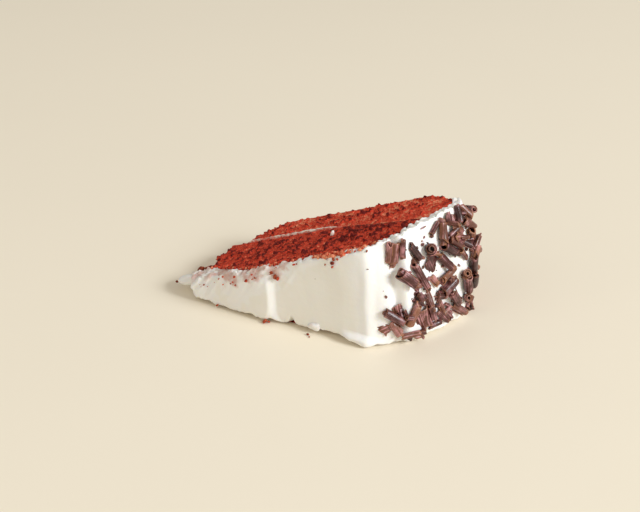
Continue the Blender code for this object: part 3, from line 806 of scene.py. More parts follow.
def chocolate_paint(looks):
    """Chocolate: brown with fine scrape lines. Bloom, a dull mauve along them, stands partly for
    painted highlight.
    """
    paint = Paint("chocolate", IOR=1.5)
    tone = paint.value("tone")
    scrape = paint.value("scrape")
    lines = paint.node(
        "ShaderNodeTexNoise", 0, {"noise_dimensions": "1D"}, W=scrape, Scale=9.0, Detail=3.0
    )
    cloud = paint.noise(260.0, 3.0, 0.55)
    fine = paint.noise(1500.0, 3.0, 0.6)
    # Mauve patches along the scrape lines: the chocolate's dull film, and painted highlight
    bloom_and_highlight = paint.step(cloud + (lines - 0.5) * 0.75, 0.47, 0.74)
    # A high tone turns to the light chocolate: the lightest curls' own brown, and painted highlight on
    # thin edges
    colour = paint.blend(tone, looks.chocolate_colour, looks.light_chocolate_and_rim_highlight_colour)
    colour = paint.blend(bloom_and_highlight * 0.7, colour, looks.bloom_and_highlight_colour)
    # A low tone darkens towards the inside colour: painted shade on the inner sheet, and darker curls
    # where the random tone is low
    colour = paint.blend(paint.step(tone, -0.6, 0.0), looks.dark_curl_and_inside_shade_colour, colour)
    rough = looks.chocolate_roughness + (cloud - 0.5) * 0.3 + (fine - 0.5) * 0.1
    height = lines * 0.7 + fine * 0.3
    return paint.finish(
        Base_Color=colour, Roughness=rough, Normal=paint.bump(height, 0.0004, 0.5)
    )


# Sizes and colours


def colour_setting(name, description, default):
    """A colour that the user may change."""
    return bpy.props.FloatVectorProperty(
        name=name, description=description, default=default, size=4, subtype="COLOR",
        min=0.0, max=1.0,
    )


def number_setting(name, description, default, low, high, **kinds):
    """A number that the user may change."""
    return bpy.props.FloatProperty(
        name=name, description=description, default=default, min=low, max=high, **kinds
    )


class CakeLooks(bpy.types.PropertyGroup):
    """Colours and finishes of the slice."""

    crumb_colour: colour_setting("Crumb", "Red of the sponge", (0.70, 0.068, 0.03, 1.0))
    # Painted shade deep in the crumb's holes
    hole_shade_colour: colour_setting("Holes", "Red deep in the crumb", (0.12, 0.006, 0.004, 1.0))
    # Painted highlight on the raised grains
    tip_highlight_colour: colour_setting("Grain tips", "Orange-red of raised grains", (1.0, 0.36, 0.20, 1.0))
    crust_colour: colour_setting("Crust", "Brown-red of the baked base", (0.27, 0.06, 0.022, 1.0))
    smear_colour: colour_setting("Smears", "Crumb smeared in frosting", (0.60, 0.32, 0.25, 1.0))
    # White of the frosting's torn edge, and painted highlight on its lit raised parts
    torn_and_highlight_colour: colour_setting("Torn frosting", "White of its torn edge", (0.93, 0.93, 0.94, 1.0))
    # Cream of the frosting: partly its own colour, partly painted warm shade standing for the floor's
    # bounce on its unlit front
    frosting_and_warm_shade_colour: colour_setting("Frosting", "White of the frosting", (0.915, 0.895, 0.84, 1.0))
    frosting_shade: colour_setting("Frosting shade", "Its duller parts", (0.89, 0.86, 0.79, 1.0))
    filling_colour: colour_setting("Filling", "Cream between the layers", (1.0, 0.86, 0.74, 1.0))
    chocolate_colour: colour_setting("Chocolate", "Brown of the curls", (0.08, 0.018, 0.014, 1.0))
    # Brown of the lightest curls, and painted highlight on thin edges
    light_chocolate_and_rim_highlight_colour: colour_setting(
        "Light chocolate", "Brown of the lightest curls and of thin edges", (0.36, 0.15, 0.07, 1.0)
    )
    # Painted highlight as well as the dull mauve of scraped chocolate
    bloom_and_highlight_colour: colour_setting("Bloom", "Dull mauve of scraped chocolate", (0.64, 0.29, 0.30, 1.0))
    # Brown of the darker curls, and painted shade within the curls
    dark_curl_and_inside_shade_colour: colour_setting("Inside", "Brown within the curls", (0.022, 0.006, 0.004, 1.0))
    frosting_roughness: number_setting(
        "Frosting roughness", "How matt the frosting is", 0.48, 0.0, 1.0, subtype="FACTOR"
    )
    chocolate_roughness: number_setting(
        "Chocolate roughness", "How matt the curls are", 0.3, 0.0, 1.0, subtype="FACTOR"
    )
    grain_strength: number_setting(
        "Grain", "Depth of the finest crumb", 0.9, 0.0, 1.0, subtype="FACTOR"
    )


class CakeSizes(bpy.types.PropertyGroup):
    """Sizes of the relief and the loose pieces."""

    crumb_depth: number_setting(
        "Crumb depth", "Depth of the open crumb", CRUMB_DEPTH, 0.0, 0.003,
        subtype="DISTANCE", unit="LENGTH",
    )
    crumb_count: bpy.props.IntProperty(
        name="Small crumbs", description="Crumbs strewn on the frosting", default=16,
        min=0, max=2000,
    )
    chip_count: bpy.props.IntProperty(
        name="Chips", description="Chocolate chips between the curls", default=90,
        min=0, max=400,
    )


class StageLooks(bpy.types.PropertyGroup):
    """The floor, the lights and the camera."""

    floor_colour: colour_setting("Floor", "Pale floor", (0.955, 0.867, 0.71, 1.0))
    key_power: number_setting(
        "Key light", "Power of the main light", 91.0, 0.0, 400.0, subtype="POWER", unit="POWER"
    )
    fill_power: number_setting(
        "Fill light", "Power of the soft light in front", 2.6, 0.0, 100.0,
        subtype="POWER", unit="POWER",
    )
    sky_strength: number_setting(
        "Sky", "Strength of the even light from all round", 0.46, 0.0, 5.0
    )
    lens: number_setting(
        "Lens", "Focal length of the camera", CAMERA_LENS, 20.0, 200.0,
        subtype="DISTANCE_CAMERA", unit="CAMERA",
    )


# Sponge and cream


def ring_shares(top, side, under):
    """Shares round a layer's cross-section: over the cut, down the back, under, up the front."""
    runs = [np.linspace(0, 1, count, endpoint=False) for count in (top, side, under, side)]
    v = np.concatenate([runs[0], np.ones(side), 1 - runs[2], np.zeros(side)])
    w = np.concatenate([np.ones(top), 1 - runs[1], np.zeros(under), runs[3]])
    return v, w


def layer_grid(borders, length, top, side, under):
    """Grid over a wedge layer: rings from the middle of the torn tip out to its edge, along the
    layer, and in to the middle of its rim. Each point blends the layer's four border curves."""
    front, back, tip, rim = borders
    v_ring, w_ring = ring_shares(top, side, under)
    cap = np.sqrt(np.linspace(0.0015, 1.0, 26))[:-1]
    run = np.linspace(0.0, 1.0, length)
    end = np.linspace(1.0, 0.04, 7)[1:]
    scale = np.concatenate([cap, np.ones(length), end])[:, None]
    u = np.concatenate([np.zeros(len(cap)), run, np.ones(len(end))])[:, None]
    v = 0.5 + (v_ring - 0.5) * scale
    w = 0.5 + (w_ring - 0.5) * scale
    u = np.broadcast_to(u, v.shape)
    a, b = u[..., None], v[..., None]
    flat = (1 - b) * front(u) + b * back(u) + (1 - a) * tip(v) + a * rim(v)
    nought, one = np.zeros(1), np.ones(1)
    flat = flat - (1 - a) * ((1 - b) * front(nought) + b * back(nought))
    flat = flat - a * ((1 - b) * front(one) + b * back(one))
    return u, v, w, flat[..., 0], flat[..., 1]


def torn_layer(borders, counts, salt, depth_scale, at_cream, crusted):
    """Crumbly wedge layer: the smooth grid, its tip torn back by noise, then every exposed
    point moved along its outward direction by the height of open crumb, with lower relief and
    a step of its own beside the cream. The cake's base and its bare corner are crusted."""
    u, v, w, radius, depth = layer_grid(borders, *counts)
    angle = w * SLICE_ANGLE
    smooth = place(radius, depth, angle)
    torn = np.clip(1.0 - u / TEAR_SHARE, 0.0, 1.0) ** 1.5
    ragged = 0.4 + 0.9 * soft_noise(smooth + salt, 5.0, 11) + 0.5 * soft_noise(smooth, 2.2, 12)
    radius = radius + torn * TEAR_DEPTH * ragged
    points = place(radius, depth, angle)
    normal = outward(points)
    relief = crumb_relief(points + salt)
    by_cream = np.exp(-np.abs(depth - filling_depth(radius)) / CREAM_REACH)
    relief = relief * (1.0 - 0.7 * by_cream) * (1.0 - 0.45 * ease(v, 0.93, 1.0))
    relief = relief + at_cream * by_cream * ease(radius, *CREAM_STEP_RADII)
    exposed = np.maximum(ease(w, *EXPOSED_SHARES), 0.9 * (u <= 0.0))
    crust = crusted * np.maximum(v >= 0.999, (u >= 0.999) * ease(depth, *CRUST_DEPTHS))
    exposed = np.maximum(exposed, 0.7 * crust)
    lower = ease(w * radius, 0.0, 4.0)
    exposed = exposed * (0.06 + 0.94 * lower)
    points = points + (relief * exposed * depth_scale)[..., None] * normal
    points[..., 2] = np.maximum(points[..., 2], 0.0)
    # The relief is kept as the crumb value, from which the paint makes painted shade in low places,
    # the top layer's sunken step by the cream among them, and painted highlight on high grains
    relief = relief * np.clip(exposed * 1.5, 0.25, 1.0)
    return points, relief, radius, depth, w, crust * (1.0 - ease(w, 0.96, 1.0))


def beside_cream(radii, reach):
    """Points at radii along the cream, a reach behind its middle."""
    return np.stack([radii, filling_depth(radii) + reach], axis=-1)


def top_borders():
    """Border curves of the layer under the frosted top."""
    outside = shrunk_outside()
    reach = -0.5 * FILLING_THICK - CREAM_GAP
    k, corner = crossing(outside, reach)
    turn = int(0.76 * k)
    first = int(np.argmax(outside[:, 0] > TOP_TIP[0][0]))
    tip_end = TOP_TIP[-1][0]
    tip = border([outside[first], *TOP_TIP[1:-1], beside_cream(tip_end, reach)])
    back = border(beside_cream(np.linspace(tip_end, corner[0], 60), reach))
    rim = border(np.vstack([outside[turn:k], corner]))
    return border(outside[first : turn + 1]), back, tip, rim


def base_borders():
    """Border curves of the layer at the cake's base."""
    outside = np.vstack([shrunk_outside()[:-1], smooth_path(SPONGE_CORNER, 20)])
    reach = 0.5 * FILLING_THICK + CREAM_GAP
    k, corner = crossing(outside, reach)
    tip_start = BASE_TIP[0][0]
    tip = border([beside_cream(tip_start, reach), *BASE_TIP[1:]])
    front = border(beside_cream(np.linspace(tip_start, corner[0], 60), reach))
    back = border([BASE_TIP[-1], (80.0, CAKE_HEIGHT), outside[-1]])
    return front, back, tip, border(np.vstack([corner, outside[k:]]))


class CAKE_OT_sponge(bpy.types.Operator):
    """Builds the two sponge layers with their open crumb and torn tips"""

    bl_idname = "cake.sponge"
    bl_label = "Sponge layers"

    def execute(self, context):
        looks = context.scene.cake_looks
        depth_scale = context.scene.cake_sizes.crumb_depth / CRUMB_DEPTH
        points, crumb, radius, depth, w, crust = torn_layer(
            top_borders(), TOP_GRID, 0.0, depth_scale, TOP_STEP, 0.0
        )
        from_front = depth - np.interp(radius, *shrunk_outside().T)
        edge = np.exp(-np.maximum(from_front, 0.0) / 1.2) * ease(w, 0.97, 1.0)
        patchy = soft_noise(points, 3.0, 41) * 0.5 + 0.5
        add_tube(
            "sponge_top_crumb", points, sponge_paint("sponge_top", looks), ["sponge_top"],
            "sponge_top", crumb=crumb, cream=0.55 * edge * patchy, crust=crust,
        )
        points, crumb, radius, depth, w, crust = torn_layer(
            base_borders(), BASE_GRID, 31.0, depth_scale, BASE_STEP, 1.0
        )
        add_tube(
            "sponge_base_crumb", points, sponge_paint("sponge_base", looks), ["sponge_base"],
            "sponge_base", crumb=crumb + 0.3 - 0.3 * crust, cream=0.0 * crumb, crust=crust,
        )
        return {"FINISHED"}


class CAKE_OT_filling(bpy.types.Operator):
    """Builds the thin cream between the layers, ragged along the cut and at its tip"""

    bl_idname = "cake.filling"
    bl_label = "Filling"

    def execute(self, context):
        looks = context.scene.cake_looks
        v_ring, w_ring = ring_shares(*FILLING_GRID)
        cap, end = [0.05, 0.4, 0.8], [0.5, 0.05]
        scale = np.concatenate([cap, np.ones(FILLING_LENGTH), end])[:, None]
        run = np.linspace(0, 1, FILLING_LENGTH)
        u = np.concatenate([np.zeros(len(cap)), run, np.ones(len(end))])[:, None]
        v = 0.5 + (v_ring - 0.5) * scale
        w = 0.5 + (w_ring - 0.5) * scale
        radius = FILLING_TIP + (FILLING_RIM - FILLING_TIP) * u + 0.0 * v
        spot = place(radius, 0.0 * v, w * SLICE_ANGLE)
        radius = radius - np.clip(1 - u / 0.04, 0, 1) * 1.3 * soft_noise(spot + 3.0, 2.4, 51)
        swell = 1.0 + mixed_noise(spot, FILLING_SWELL)
        depth = filling_depth(radius) + (v - 0.5) * FILLING_THICK * swell
        right_half = ease(radius, *SMEARED_RADII)
        sunk = -0.6 * ease(radius, 28.0, 32.0) + 0.5 * (1.0 - ease(radius, 26.0, 30.0))
        sunk = sunk + 1.5 * right_half * (0.9 + 0.4 * soft_noise(spot, 4.0, 54))
        rough = 0.22 * soft_noise(spot + depth[..., None], 1.2, 55)
        angle = w * SLICE_ANGLE - ease(w, 0.9, 1.0) * (sunk + rough) / radius
        points = place(radius, depth, angle)
        points[..., 2] = np.maximum(points[..., 2], 0.0)
        smear = 0.5 + 1.1 * right_half + 0.3 * soft_noise(spot, 5.0, 56)
        smear = smear + 0.45 * np.abs(2.0 * v - 1.0) ** 2
        add_tube(
            "filling_cream", points, cream_paint("filling", looks, looks.filling_colour, 1.0),
            ["filling"], "filling", smear=smear,
        )
        return {"FINISHED"}


# Frosting


def lower_edge(along):
    """Height of the frosting's lower edge: straight between its marks, with small waves and
    notches."""
    height = np.interp(along, *np.array(LOWER_EDGE).T)
    height = height + mixed_noise(np.stack([along, 0 * along, 0 * along], -1), LOWER_EDGE_WAVES)
    for at, high, wide in NOTCHES:
        height = height + high * hump(along, at, wide)
    return np.maximum(LOWER_EDGE_LEAST, height)


def frosting_grid():
    """Grid over the frosting: rings round its cross-section, which go up the outside, over the
    cut edge, down against the sponge and back out, from the torn tip to its end at the base."""
    outside, cut, inside, under = FROSTING_GRID
    t_ring = np.concatenate(
        [np.ones(outside), 1 - np.linspace(0, 1, cut, endpoint=False), np.zeros(inside),
         np.linspace(0, 1, under, endpoint=False)]
    )
    w_ring = np.concatenate(
        [np.linspace(0, 1, outside, endpoint=False), np.ones(cut),
         1 - np.linspace(0, 1, inside, endpoint=False), np.zeros(under)]
    )
    cap = np.sqrt(np.linspace(0.003, 1.0, 18))[:-1]
    end = np.linspace(1.0, 0.05, 6)[1:]
    body = np.linspace(0.0, FROSTING_ALONG[-1], FROSTING_LENGTH)
    scale = np.concatenate([cap, np.ones(len(body)), end])[:, None]
    along = np.concatenate([np.zeros(len(cap)), body, np.full(len(end), body[-1])])[:, None]
    t = 0.5 + (t_ring - 0.5) * scale
    w = 0.5 + (w_ring - 0.5) * scale
    return np.broadcast_to(along, t.shape), t, w


def frosting_shape():
    """Points of the frosting, and how much crumb is smeared into each, which also carries a
    painted highlight on the lit raised parts: between the sponge and the outside by the share
    through it, raised by the relief, ragged at the cut and the tip."""
    along, t, w = frosting_grid()
    radius, depth, step = frosting_line(along[:, 0])
    inner = sponge_line(along[:, 0])
    low = lower_edge(along) * (1 - 0.7 * (1 - t)) / np.maximum(radius, 20.0)[:, None]
    angle = low + w * (SLICE_ANGLE - low)
    proud = frosting_relief(along, angle, radius[:, None])
    cut_edge = (SLICE_ANGLE - angle) * radius[:, None]
    foot_edge = (angle - low) * radius[:, None]
    tip_zone = 1.0 - ease(along, *TIP_ZONE)
    slant = (along - 0.8 * angle * radius[:, None]) / 1.7
    drag = tip_zone * np.exp(-((cut_edge / 6.5) ** 2))
    proud = proud + 0.5 * drag * noise_over(slant, cut_edge / 9.0, 0.0, 78)
    proud = proud - 0.55 * np.exp(-cut_edge / 0.7) - 0.5 * np.exp(-foot_edge / 0.5)
    proud = proud - 1.5 * tip_zone * np.exp(-cut_edge / 2.2)
    outer_r = radius[:, None] + proud * step[:, 1:]
    outer_d = depth[:, None] - proud * step[:, :1]
    flat_r = inner[:, :1] * (1 - t) + outer_r * t
    flat_d = inner[:, 1:] * (1 - t) + outer_d * t
    spot = place(flat_r, flat_d, angle)
    near_cut = np.exp(-cut_edge / 1.2)
    rough = mixed_noise(spot, CUT_EDGE_NOISE)
    lumps = dome(*seed_distance(spot, 2.0, 73)) - 0.4
    lumpy = 0.6 + 0.3 * tip_zone + 0.7 * ease(along, 84.0, 96.0)
    angle = angle + near_cut * (rough + lumpy * lumps) / np.maximum(flat_r, 20.0)
    torn = np.clip(1.0 - along / 6.0, 0.0, 1.0)
    flat_r = flat_r + torn * mixed_noise(spot, TIP_NOISE)
    points = place(flat_r, flat_d, angle)
    # Smears fade down from the cut edge, further near the tip
    reach = 1.6 + 6.0 * tip_zone
    patchy = 0.6 + mixed_noise(spot, SMEAR_NOISE)
    smear = np.exp(-cut_edge / reach) * np.clip(patchy, 0.0, 1.3) * (0.35 + 0.65 * tip_zone)
    smear = smear * (1.0 - ease(along, 84.0, 100.0) * 0.6)
    height = flat_r * np.sin(angle)
    for at, high, wide, strength in NAMED_SMEARS:
        away = ((along - at) ** 2 + (height - high) ** 2) / wide**2
        smear = smear + strength * np.exp(-away) * (0.8 + 0.4 * soft_noise(spot, 1.4, 79))
    # Painted highlight: the raised and turned parts, which catch the light, are marked through the
    # smear value to be painted white
    white = np.maximum(ease(along, 70.0, 80.0), hump(along, RIDGE_AT, RIDGE_WIDTH))
    white = np.maximum(white, ease(flare_share(along, height), 0.0, 0.5))
    smear = np.maximum(smear, 0.16 * white)
    return points, np.clip(smear, 0.0, 1.0)


def soft_lump(centre, radii, turn, salt):
    """A soft rounded lump: a ball stretched by its three radii, swollen by noise and turned."""
    ball, faces = small_ball(14, 20)
    body = ball * (1.0 + 0.22 * soft_noise(ball + salt, 0.8, 81)[:, None]) * np.array(radii)
    body = body @ np.array(Matrix.Rotation(turn, 3, "Y")).T
    return body + np.array(centre), faces


def joined(shapes):
    """Joins shapes, each of points and faces, into one."""
    points, faces, start = [], [], 0
    for shape_points, shape_faces in shapes:
        points.append(shape_points)
        faces += [[i + start for i in face] for face in shape_faces]
        start += len(shape_points)
    return np.vstack(points), faces


class CAKE_OT_frosting(bpy.types.Operator):
    """Builds the frosting on the top and side, with the lump dragged off its tip"""

    bl_idname = "cake.frosting"
    bl_label = "Frosting"

    def execute(self, context):
        looks = context.scene.cake_looks
        points, smear = frosting_shape()
        coat = (tube_points(points), tube_faces(*points.shape[:2]))
        dragged = soft_lump(DRAG_CENTRE, DRAG_RADII, DRAG_TURN, 3.0)
        blob_at = on_frosting(BLOB_AT[0], math.radians(BLOB_AT[1]))[0]
        blob = soft_lump(blob_at, BLOB_RADII, 0.0, 9.0)
        values = np.concatenate(
            [tube_values(smear), np.full(len(dragged[0]), 0.2), np.full(len(blob[0]), 0.5)]
        )
        paint = cream_paint("frosting", looks, looks.frosting_and_warm_shade_colour, 0.5)
        add_piece(
            "frosting_coat", *joined([coat, dragged, blob]), paint, ["frosting"], "frosting",
            {"smear": values},
        )
        spots, faces = soft_lump((0, 0, 0), DAB_RADII, DAB_TURN, 15.0)
        spots = spots @ np.array(Matrix.Rotation(-SLICE_ANGLE, 3, "Y")).T
        spots = spots + place(*np.array([*DAB_AT, DAB_ANGLE]))
        paint = cream_paint("dab", looks, looks.frosting_and_warm_shade_colour, 1.0)
        add_piece(
            "frosting_dab", spots, faces, paint, ["frosting"], "frosting",
            {"smear": np.full(len(spots), 0.6)},
        )
        return {"FINISHED"}


# Chocolate


def strip_faces(round_it, along, start):
    """Faces of a closed strip of an outer and an inner grid: both sides and the four edges."""
    outer = start + np.arange(round_it * along).reshape(round_it, along)
    inner = outer + round_it * along
    parts = [
        np.stack([outer[:-1, :-1], outer[1:, :-1], outer[1:, 1:], outer[:-1, 1:]], -1),
        np.stack([inner[:-1, :-1], inner[:-1, 1:], inner[1:, 1:], inner[1:, :-1]], -1),
        np.stack([outer[:-1, 0], inner[:-1, 0], inner[1:, 0], outer[1:, 0]], -1),
        np.stack([outer[:-1, -1], outer[1:, -1], inner[1:, -1], inner[:-1, -1]], -1),
        np.stack([outer[0, :-1], outer[0, 1:], inner[0, 1:], inner[0, :-1]], -1),
        np.stack([outer[-1, :-1], inner[-1, :-1], inner[-1, 1:], outer[-1, 1:]], -1),
    ]
    return np.concatenate([part.reshape(-1, 4) for part in parts]).tolist()


def curl_points(row, draw, number, lift=0.0):
    """One curl: a strip wound about its axis, closing as it turns, tapering along its length,
    with ragged ends and thin edges. Its seat and draws are those of the solid, raised by the
    lift."""
    kind, along, angle, heading, length, width = row
    solid_turns, tilt, taper, turns, size, stand, closing = CURL_KINDS[kind]
    lean = CURL_LEAN * float(ease(along, *CURL_LEAN_FROM_TO)) * draw.choice((-1.0, 1.0))
    tilt = math.radians(tilt + draw.uniform(-4.0, 4.0)) + lean
    start = draw.uniform(-0.6, 0.6) if solid_turns > 1.0 else 2.4 * number
    skew = draw.uniform(-0.35, 0.35)
    if kind == "shard":
        start = math.pi * (0.5 - turns)
    smaller = SMALLER_CURLS.get(number, 1.0)
    length, width = length * smaller, width * smaller
    radius = size * width
    seat, normal, down_side, upwards = on_frosting(along, math.radians(angle))
    heading = math.radians(heading)
    axis = down_side * math.cos(heading) + upwards * math.sin(heading)
    axis = axis * math.cos(tilt) + normal * math.sin(tilt)
    across = np.cross(normal, axis)
    across /= np.linalg.norm(across)
    up = np.cross(axis, across)
    up /= np.linalg.norm(up)
    seat = seat + up * (radius * stand + CURL_LEAN_LIFT * length * abs(math.sin(lean)) + lift)
    count = 16 if kind == "shard" else 40
    u = np.linspace(0.0, 1.0, count)[:, None]
    w = np.linspace(0.0, 1.0, 13)[None]
    turn = start + turns * 2.0 * math.pi * u + 0.25 * (w - 0.5)
    close = closing * radius * u
    u, w = np.broadcast_arrays(u, w)
    end = np.stack([u * 4.0, number + 3.0 * np.round(w), 0.0 * u], -1)
    ragged = 1.0 + mixed_noise(end, CURL_END_NOISE)
    wobble = 0.10 * noise_over(u * 6.0, number, w * 3.0, 92)
    wobble = wobble + 0.04 * noise_over(u * 22.0, number, w, 93)
    reach = (radius - close) * (1.0 - taper * w) * (1.0 + wobble)
    thick = CURL_THICK * (0.4 + 0.6 * np.sin(math.pi * np.clip(u, 0.05, 0.95)) ** 0.5)
    run = (w - 0.5) * length * (1.0 - CURL_ROUNDING * (2 * u - 1) ** 2) * ragged
    run = run + skew * (u - 0.5) * width
    sheets = []
    for inset in (0.0, 1.0):
        far = reach - inset * thick
        flat = far[..., None] * (np.cos(turn)[..., None] * across + np.sin(turn)[..., None] * up)
        sheets.append(seat + run[..., None] * axis + flat)
    points = np.stack(sheets).reshape(-1, 3)
    points[:, 2] += max(0.0, CURL_CLEARANCE - points[:, 2].min())
    scrape = np.tile((u * turns * radius + 3.1 * number).ravel(), 2)
    # Painted highlight: the thin edges and ends are marked to lighten
    edge = np.maximum(np.abs(2.0 * u - 1.0) ** 12, np.abs(2.0 * w - 1.0) ** 9)
    # Painted shade: the inner sheet away from the edges is marked to darken
    inside = 0.5 * np.concatenate([np.zeros(u.size), (1.0 - edge).ravel()])
    return points, u.shape, scrape, np.tile(edge.ravel(), 2), inside


def curl_rows(draw):
    """The curls placed one by one, then those round the turn of the side."""
    rows = list(CURLS)
    for along in BACK_ROWS:
        for k in range(BACK_COUNT):
            angle = math.degrees(SLICE_ANGLE) * (k + 0.5) / BACK_COUNT + draw.uniform(-1.5, 1.5)
            kind = draw.choice(("roll", "half", "half", "shard"))
            place_along = along + draw.uniform(-1.5, 1.5)
            heading = draw.uniform(-90, 90)
            length = draw.uniform(5.5, 8.5)
            rows.append((kind, place_along, angle, heading, length, draw.uniform(3.2, 4.8)))
    return rows


def small_rows(rows, draw):
    """Small curls: each near one of the others, lifted on to it or beside it."""
    small = []
    for k in range(SMALL_COUNT):
        near = draw.choice(rows[4:])
        along = near[1] + draw.uniform(-SMALL_AWAY, SMALL_AWAY)
        aside = draw.uniform(-SMALL_AWAY, SMALL_AWAY)
        angle = min(max(near[2] + math.degrees(aside / 110.0), 1.4), 21.0)
        kind = draw.choice(("roll", "half", "scroll", "shard", "cone"))
        length = draw.uniform(2.4, 4.6)
        small.append((kind, along, angle, draw.uniform(-90, 90), length, draw.uniform(1.7, 2.9)))
    return small


def with_named(along, angle, size, table):
    """Adds a table's spots, each a distance along the frosting, a height and a size."""
    places, heights, sizes = np.array(table).T
    angles = np.arcsin(heights / frosting_line(places)[0])
    return [np.concatenate(pair) for pair in ((along, places), (angle, angles), (size, sizes))]


class CAKE_OT_chocolate(bpy.types.Operator):
    """Builds the chocolate curls and the small chips between them"""

    bl_idname = "cake.chocolate"
    bl_label = "Chocolate"

    def execute(self, context):
        looks = context.scene.cake_looks
        paint = chocolate_paint(looks)
        draw = random.Random(CURL_SEED)
        tones = np.random.default_rng(TONE_SEED)
        points, faces, tone, scrape, start = [], [], [], [], 0
        rows = curl_rows(draw)
        large = len(rows)
        small_draw = random.Random(CURL_SEED + 1)
        for k, row in enumerate(rows + small_rows(rows, small_draw)):
            own = draw if k < large else small_draw
            lift = 0.0 if k < large else small_draw.uniform(0.0, 1.6)
            spots, shape, lines, edge, inside = curl_points(row, own, k, lift)
            points.append(spots)
            faces += strip_faces(*shape, start)
            start += len(spots)
            light = 0.6 if k in LIGHT_CURLS else tones.uniform(-0.45, 0.4)
            # Tone: the curl's own brown, plus painted highlight on its edges and painted shade on its
            # inner sheet
            tone.append(light + 0.7 * edge - inside)
            scrape.append(lines)
        add_piece(
            "chocolate_curls", np.vstack(points), faces, paint, ["frosting"], "frosting",
            {"tone": np.concatenate(tone), "scrape": np.concatenate(scrape)},
        )
        self.chips(context, paint)
        return {"FINISHED"}

    def chips(self, context, paint):
        """Small chips between the curls, and the dark specks further along the frosting."""
        draw = np.random.default_rng(CHIP_SEED)
        count = context.scene.cake_sizes.chip_count
        along = draw.uniform(*CHIPS_ALONG, count)
        angle = np.radians(draw.uniform(*CHIPS_ANGLES, count))
        size = draw.uniform(*CHIP_SIZES, count)
        along, angle, size = with_named(along, angle, size, SPECKS)
        centre, normal = on_frosting(along, angle)[:2]
        chips = scattered_lumps(centre + normal * 0.2 * size[:, None], size, draw, 0.3, 0.4)
        seat, normal, down_side, upwards = on_frosting(FLAKE_AT[0], math.radians(FLAKE_AT[1]))
        ball, ball_faces = small_ball()
        thin = (ball * np.array(FLAKE_RADII)) @ np.stack([down_side, upwards, normal])
        spots, faces = joined([chips, (thin + seat + 0.2 * normal, ball_faces)])
        tone = draw.uniform(0.0, 0.35, len(spots))
        add_piece(
            "chocolate_chips", spots, faces, paint, ["frosting"], "frosting",
            {"tone": tone, "scrape": 0.0 * tone}, smooth=False,
        )


# Crumbs


class CAKE_OT_crumbs(bpy.types.Operator):
    """Strews red crumbs on the frosting near the cut, along the sponge's edge and on the floor"""

    bl_idname = "cake.crumbs"
    bl_label = "Loose crumbs"

    def execute(self, context):
        draw = np.random.default_rng(CRUMB_SEED)
        count = context.scene.cake_sizes.crumb_count
        along = 3.0 + draw.uniform(0.0, 1.0, count) ** 1.1 * 84.0
        drop = draw.exponential(1.0, count) * (0.7 + 1.5 * (1.0 - ease(along, 34.0, 52.0)))
        drop = np.minimum(drop, 4.5)
        size = (0.35 + 0.9 * draw.uniform(0.0, 1.0, count) ** 2) * (1.0 - 0.4 * ease(drop, 1.0, 6.0))
        angle = SLICE_ANGLE - drop / frosting_line(along)[0]
        along, angle, size = with_named(along, angle, size, NAMED_CRUMBS)
        centre, normal = on_frosting(along, angle)[:2]
        # Crumb clumps along the edge between the sponge and the frosting, the orange ones first
        edge_along = 8.0 + draw.uniform(0.0, 1.0, EDGE_COUNT) * 84.0
        edge_along[:ORANGE_COUNT] = draw.uniform(*ORANGE_FROM_TO, ORANGE_COUNT)
        inner = sponge_line(edge_along)
        outside = np.stack(frosting_line(edge_along)[:2], axis=1)
        band = np.hypot(*(outside - inner).T)
        share = (np.abs(draw.normal(0.0, 0.8, EDGE_COUNT)) / band)[:, None]
        share[:ORANGE_COUNT] = draw.uniform(0.1, 0.9, (ORANGE_COUNT, 1))
        flat = inner * (1 - share) + outside * share
        edge_size = draw.uniform(0.5, 1.6, EDGE_COUNT)
        edge_size[:ORANGE_COUNT] = draw.uniform(0.7, 2.2, ORANGE_COUNT)
        lift = SLICE_ANGLE + (0.1 + 0.3 * draw.uniform(0, 1, EDGE_COUNT)) / flat[:, 0]
        free = np.array(FREE_CRUMBS)
        on_edge = place(flat[:, 0], flat[:, 1], lift)
        centres = np.vstack([centre + normal * 0.22 * size[:, None], on_edge, free[:, :3]])
        sizes = np.concatenate([size, edge_size, free[:, 3]])
        spots, faces = scattered_lumps(centres, sizes, draw, 0.35, 0.75)
        spots[:, 2] = np.maximum(spots[:, 2], 0.02)
        per_crumb = draw.uniform(-0.5, 0.8, len(sizes))
        browned = draw.uniform(0.5, 1.0, len(sizes))
        browned[len(size) : len(size) + EDGE_COUNT] = 0.15
        per_crumb[len(size) : len(size) + ORANGE_COUNT] += 0.55
        per_crumb[-len(free) :] = -0.7
        crumb, crust = np.repeat([per_crumb, browned], len(small_ball()[0]), axis=1)
        add_piece(
            "loose_crumbs", spots, faces, sponge_paint("crumbs", context.scene.cake_looks),
            ["frosting"], "sponge_top",
            {"crumb": crumb, "cream": 0.0 * crumb, "crust": crust},
        )
        return {"FINISHED"}


# Stage


def camera_place():
    """Camera's place and axes: back from the target by the distance, then rolled."""
    sin_e, cos_e = math.sin(CAMERA_ELEVATION), math.cos(CAMERA_ELEVATION)
    sin_a, cos_a = math.sin(CAMERA_AZIMUTH), math.cos(CAMERA_AZIMUTH)
    back = Vector((sin_a * cos_e, -cos_a * cos_e, sin_e))
    right = Vector((cos_a, sin_a, 0.0))
    up = back.cross(right)
    sin_r, cos_r = math.sin(CAMERA_ROLL), math.cos(CAMERA_ROLL)
    turned = Matrix((cos_r * right + sin_r * up, cos_r * up - sin_r * right, back)).transposed()
    eye = (Vector(CAMERA_TARGET) - Vector(CAKE_AXIS)) * MM + back * CAMERA_DISTANCE
    return Matrix.Translation(eye) @ turned.to_4x4()


def area_light(name, power, direction, distance, size, colour):
    """A square light that looks at the slice from a direction."""
    data = bpy.data.lights.new(name, "AREA")
    data.size = size
    data.energy = power
    data.color = colour
    away = Vector(direction).normalized()
    turned = away.to_track_quat("Z", "Y").to_matrix().to_4x4()
    add_object(name, data).matrix_world = Matrix.Translation(away * distance) @ turned


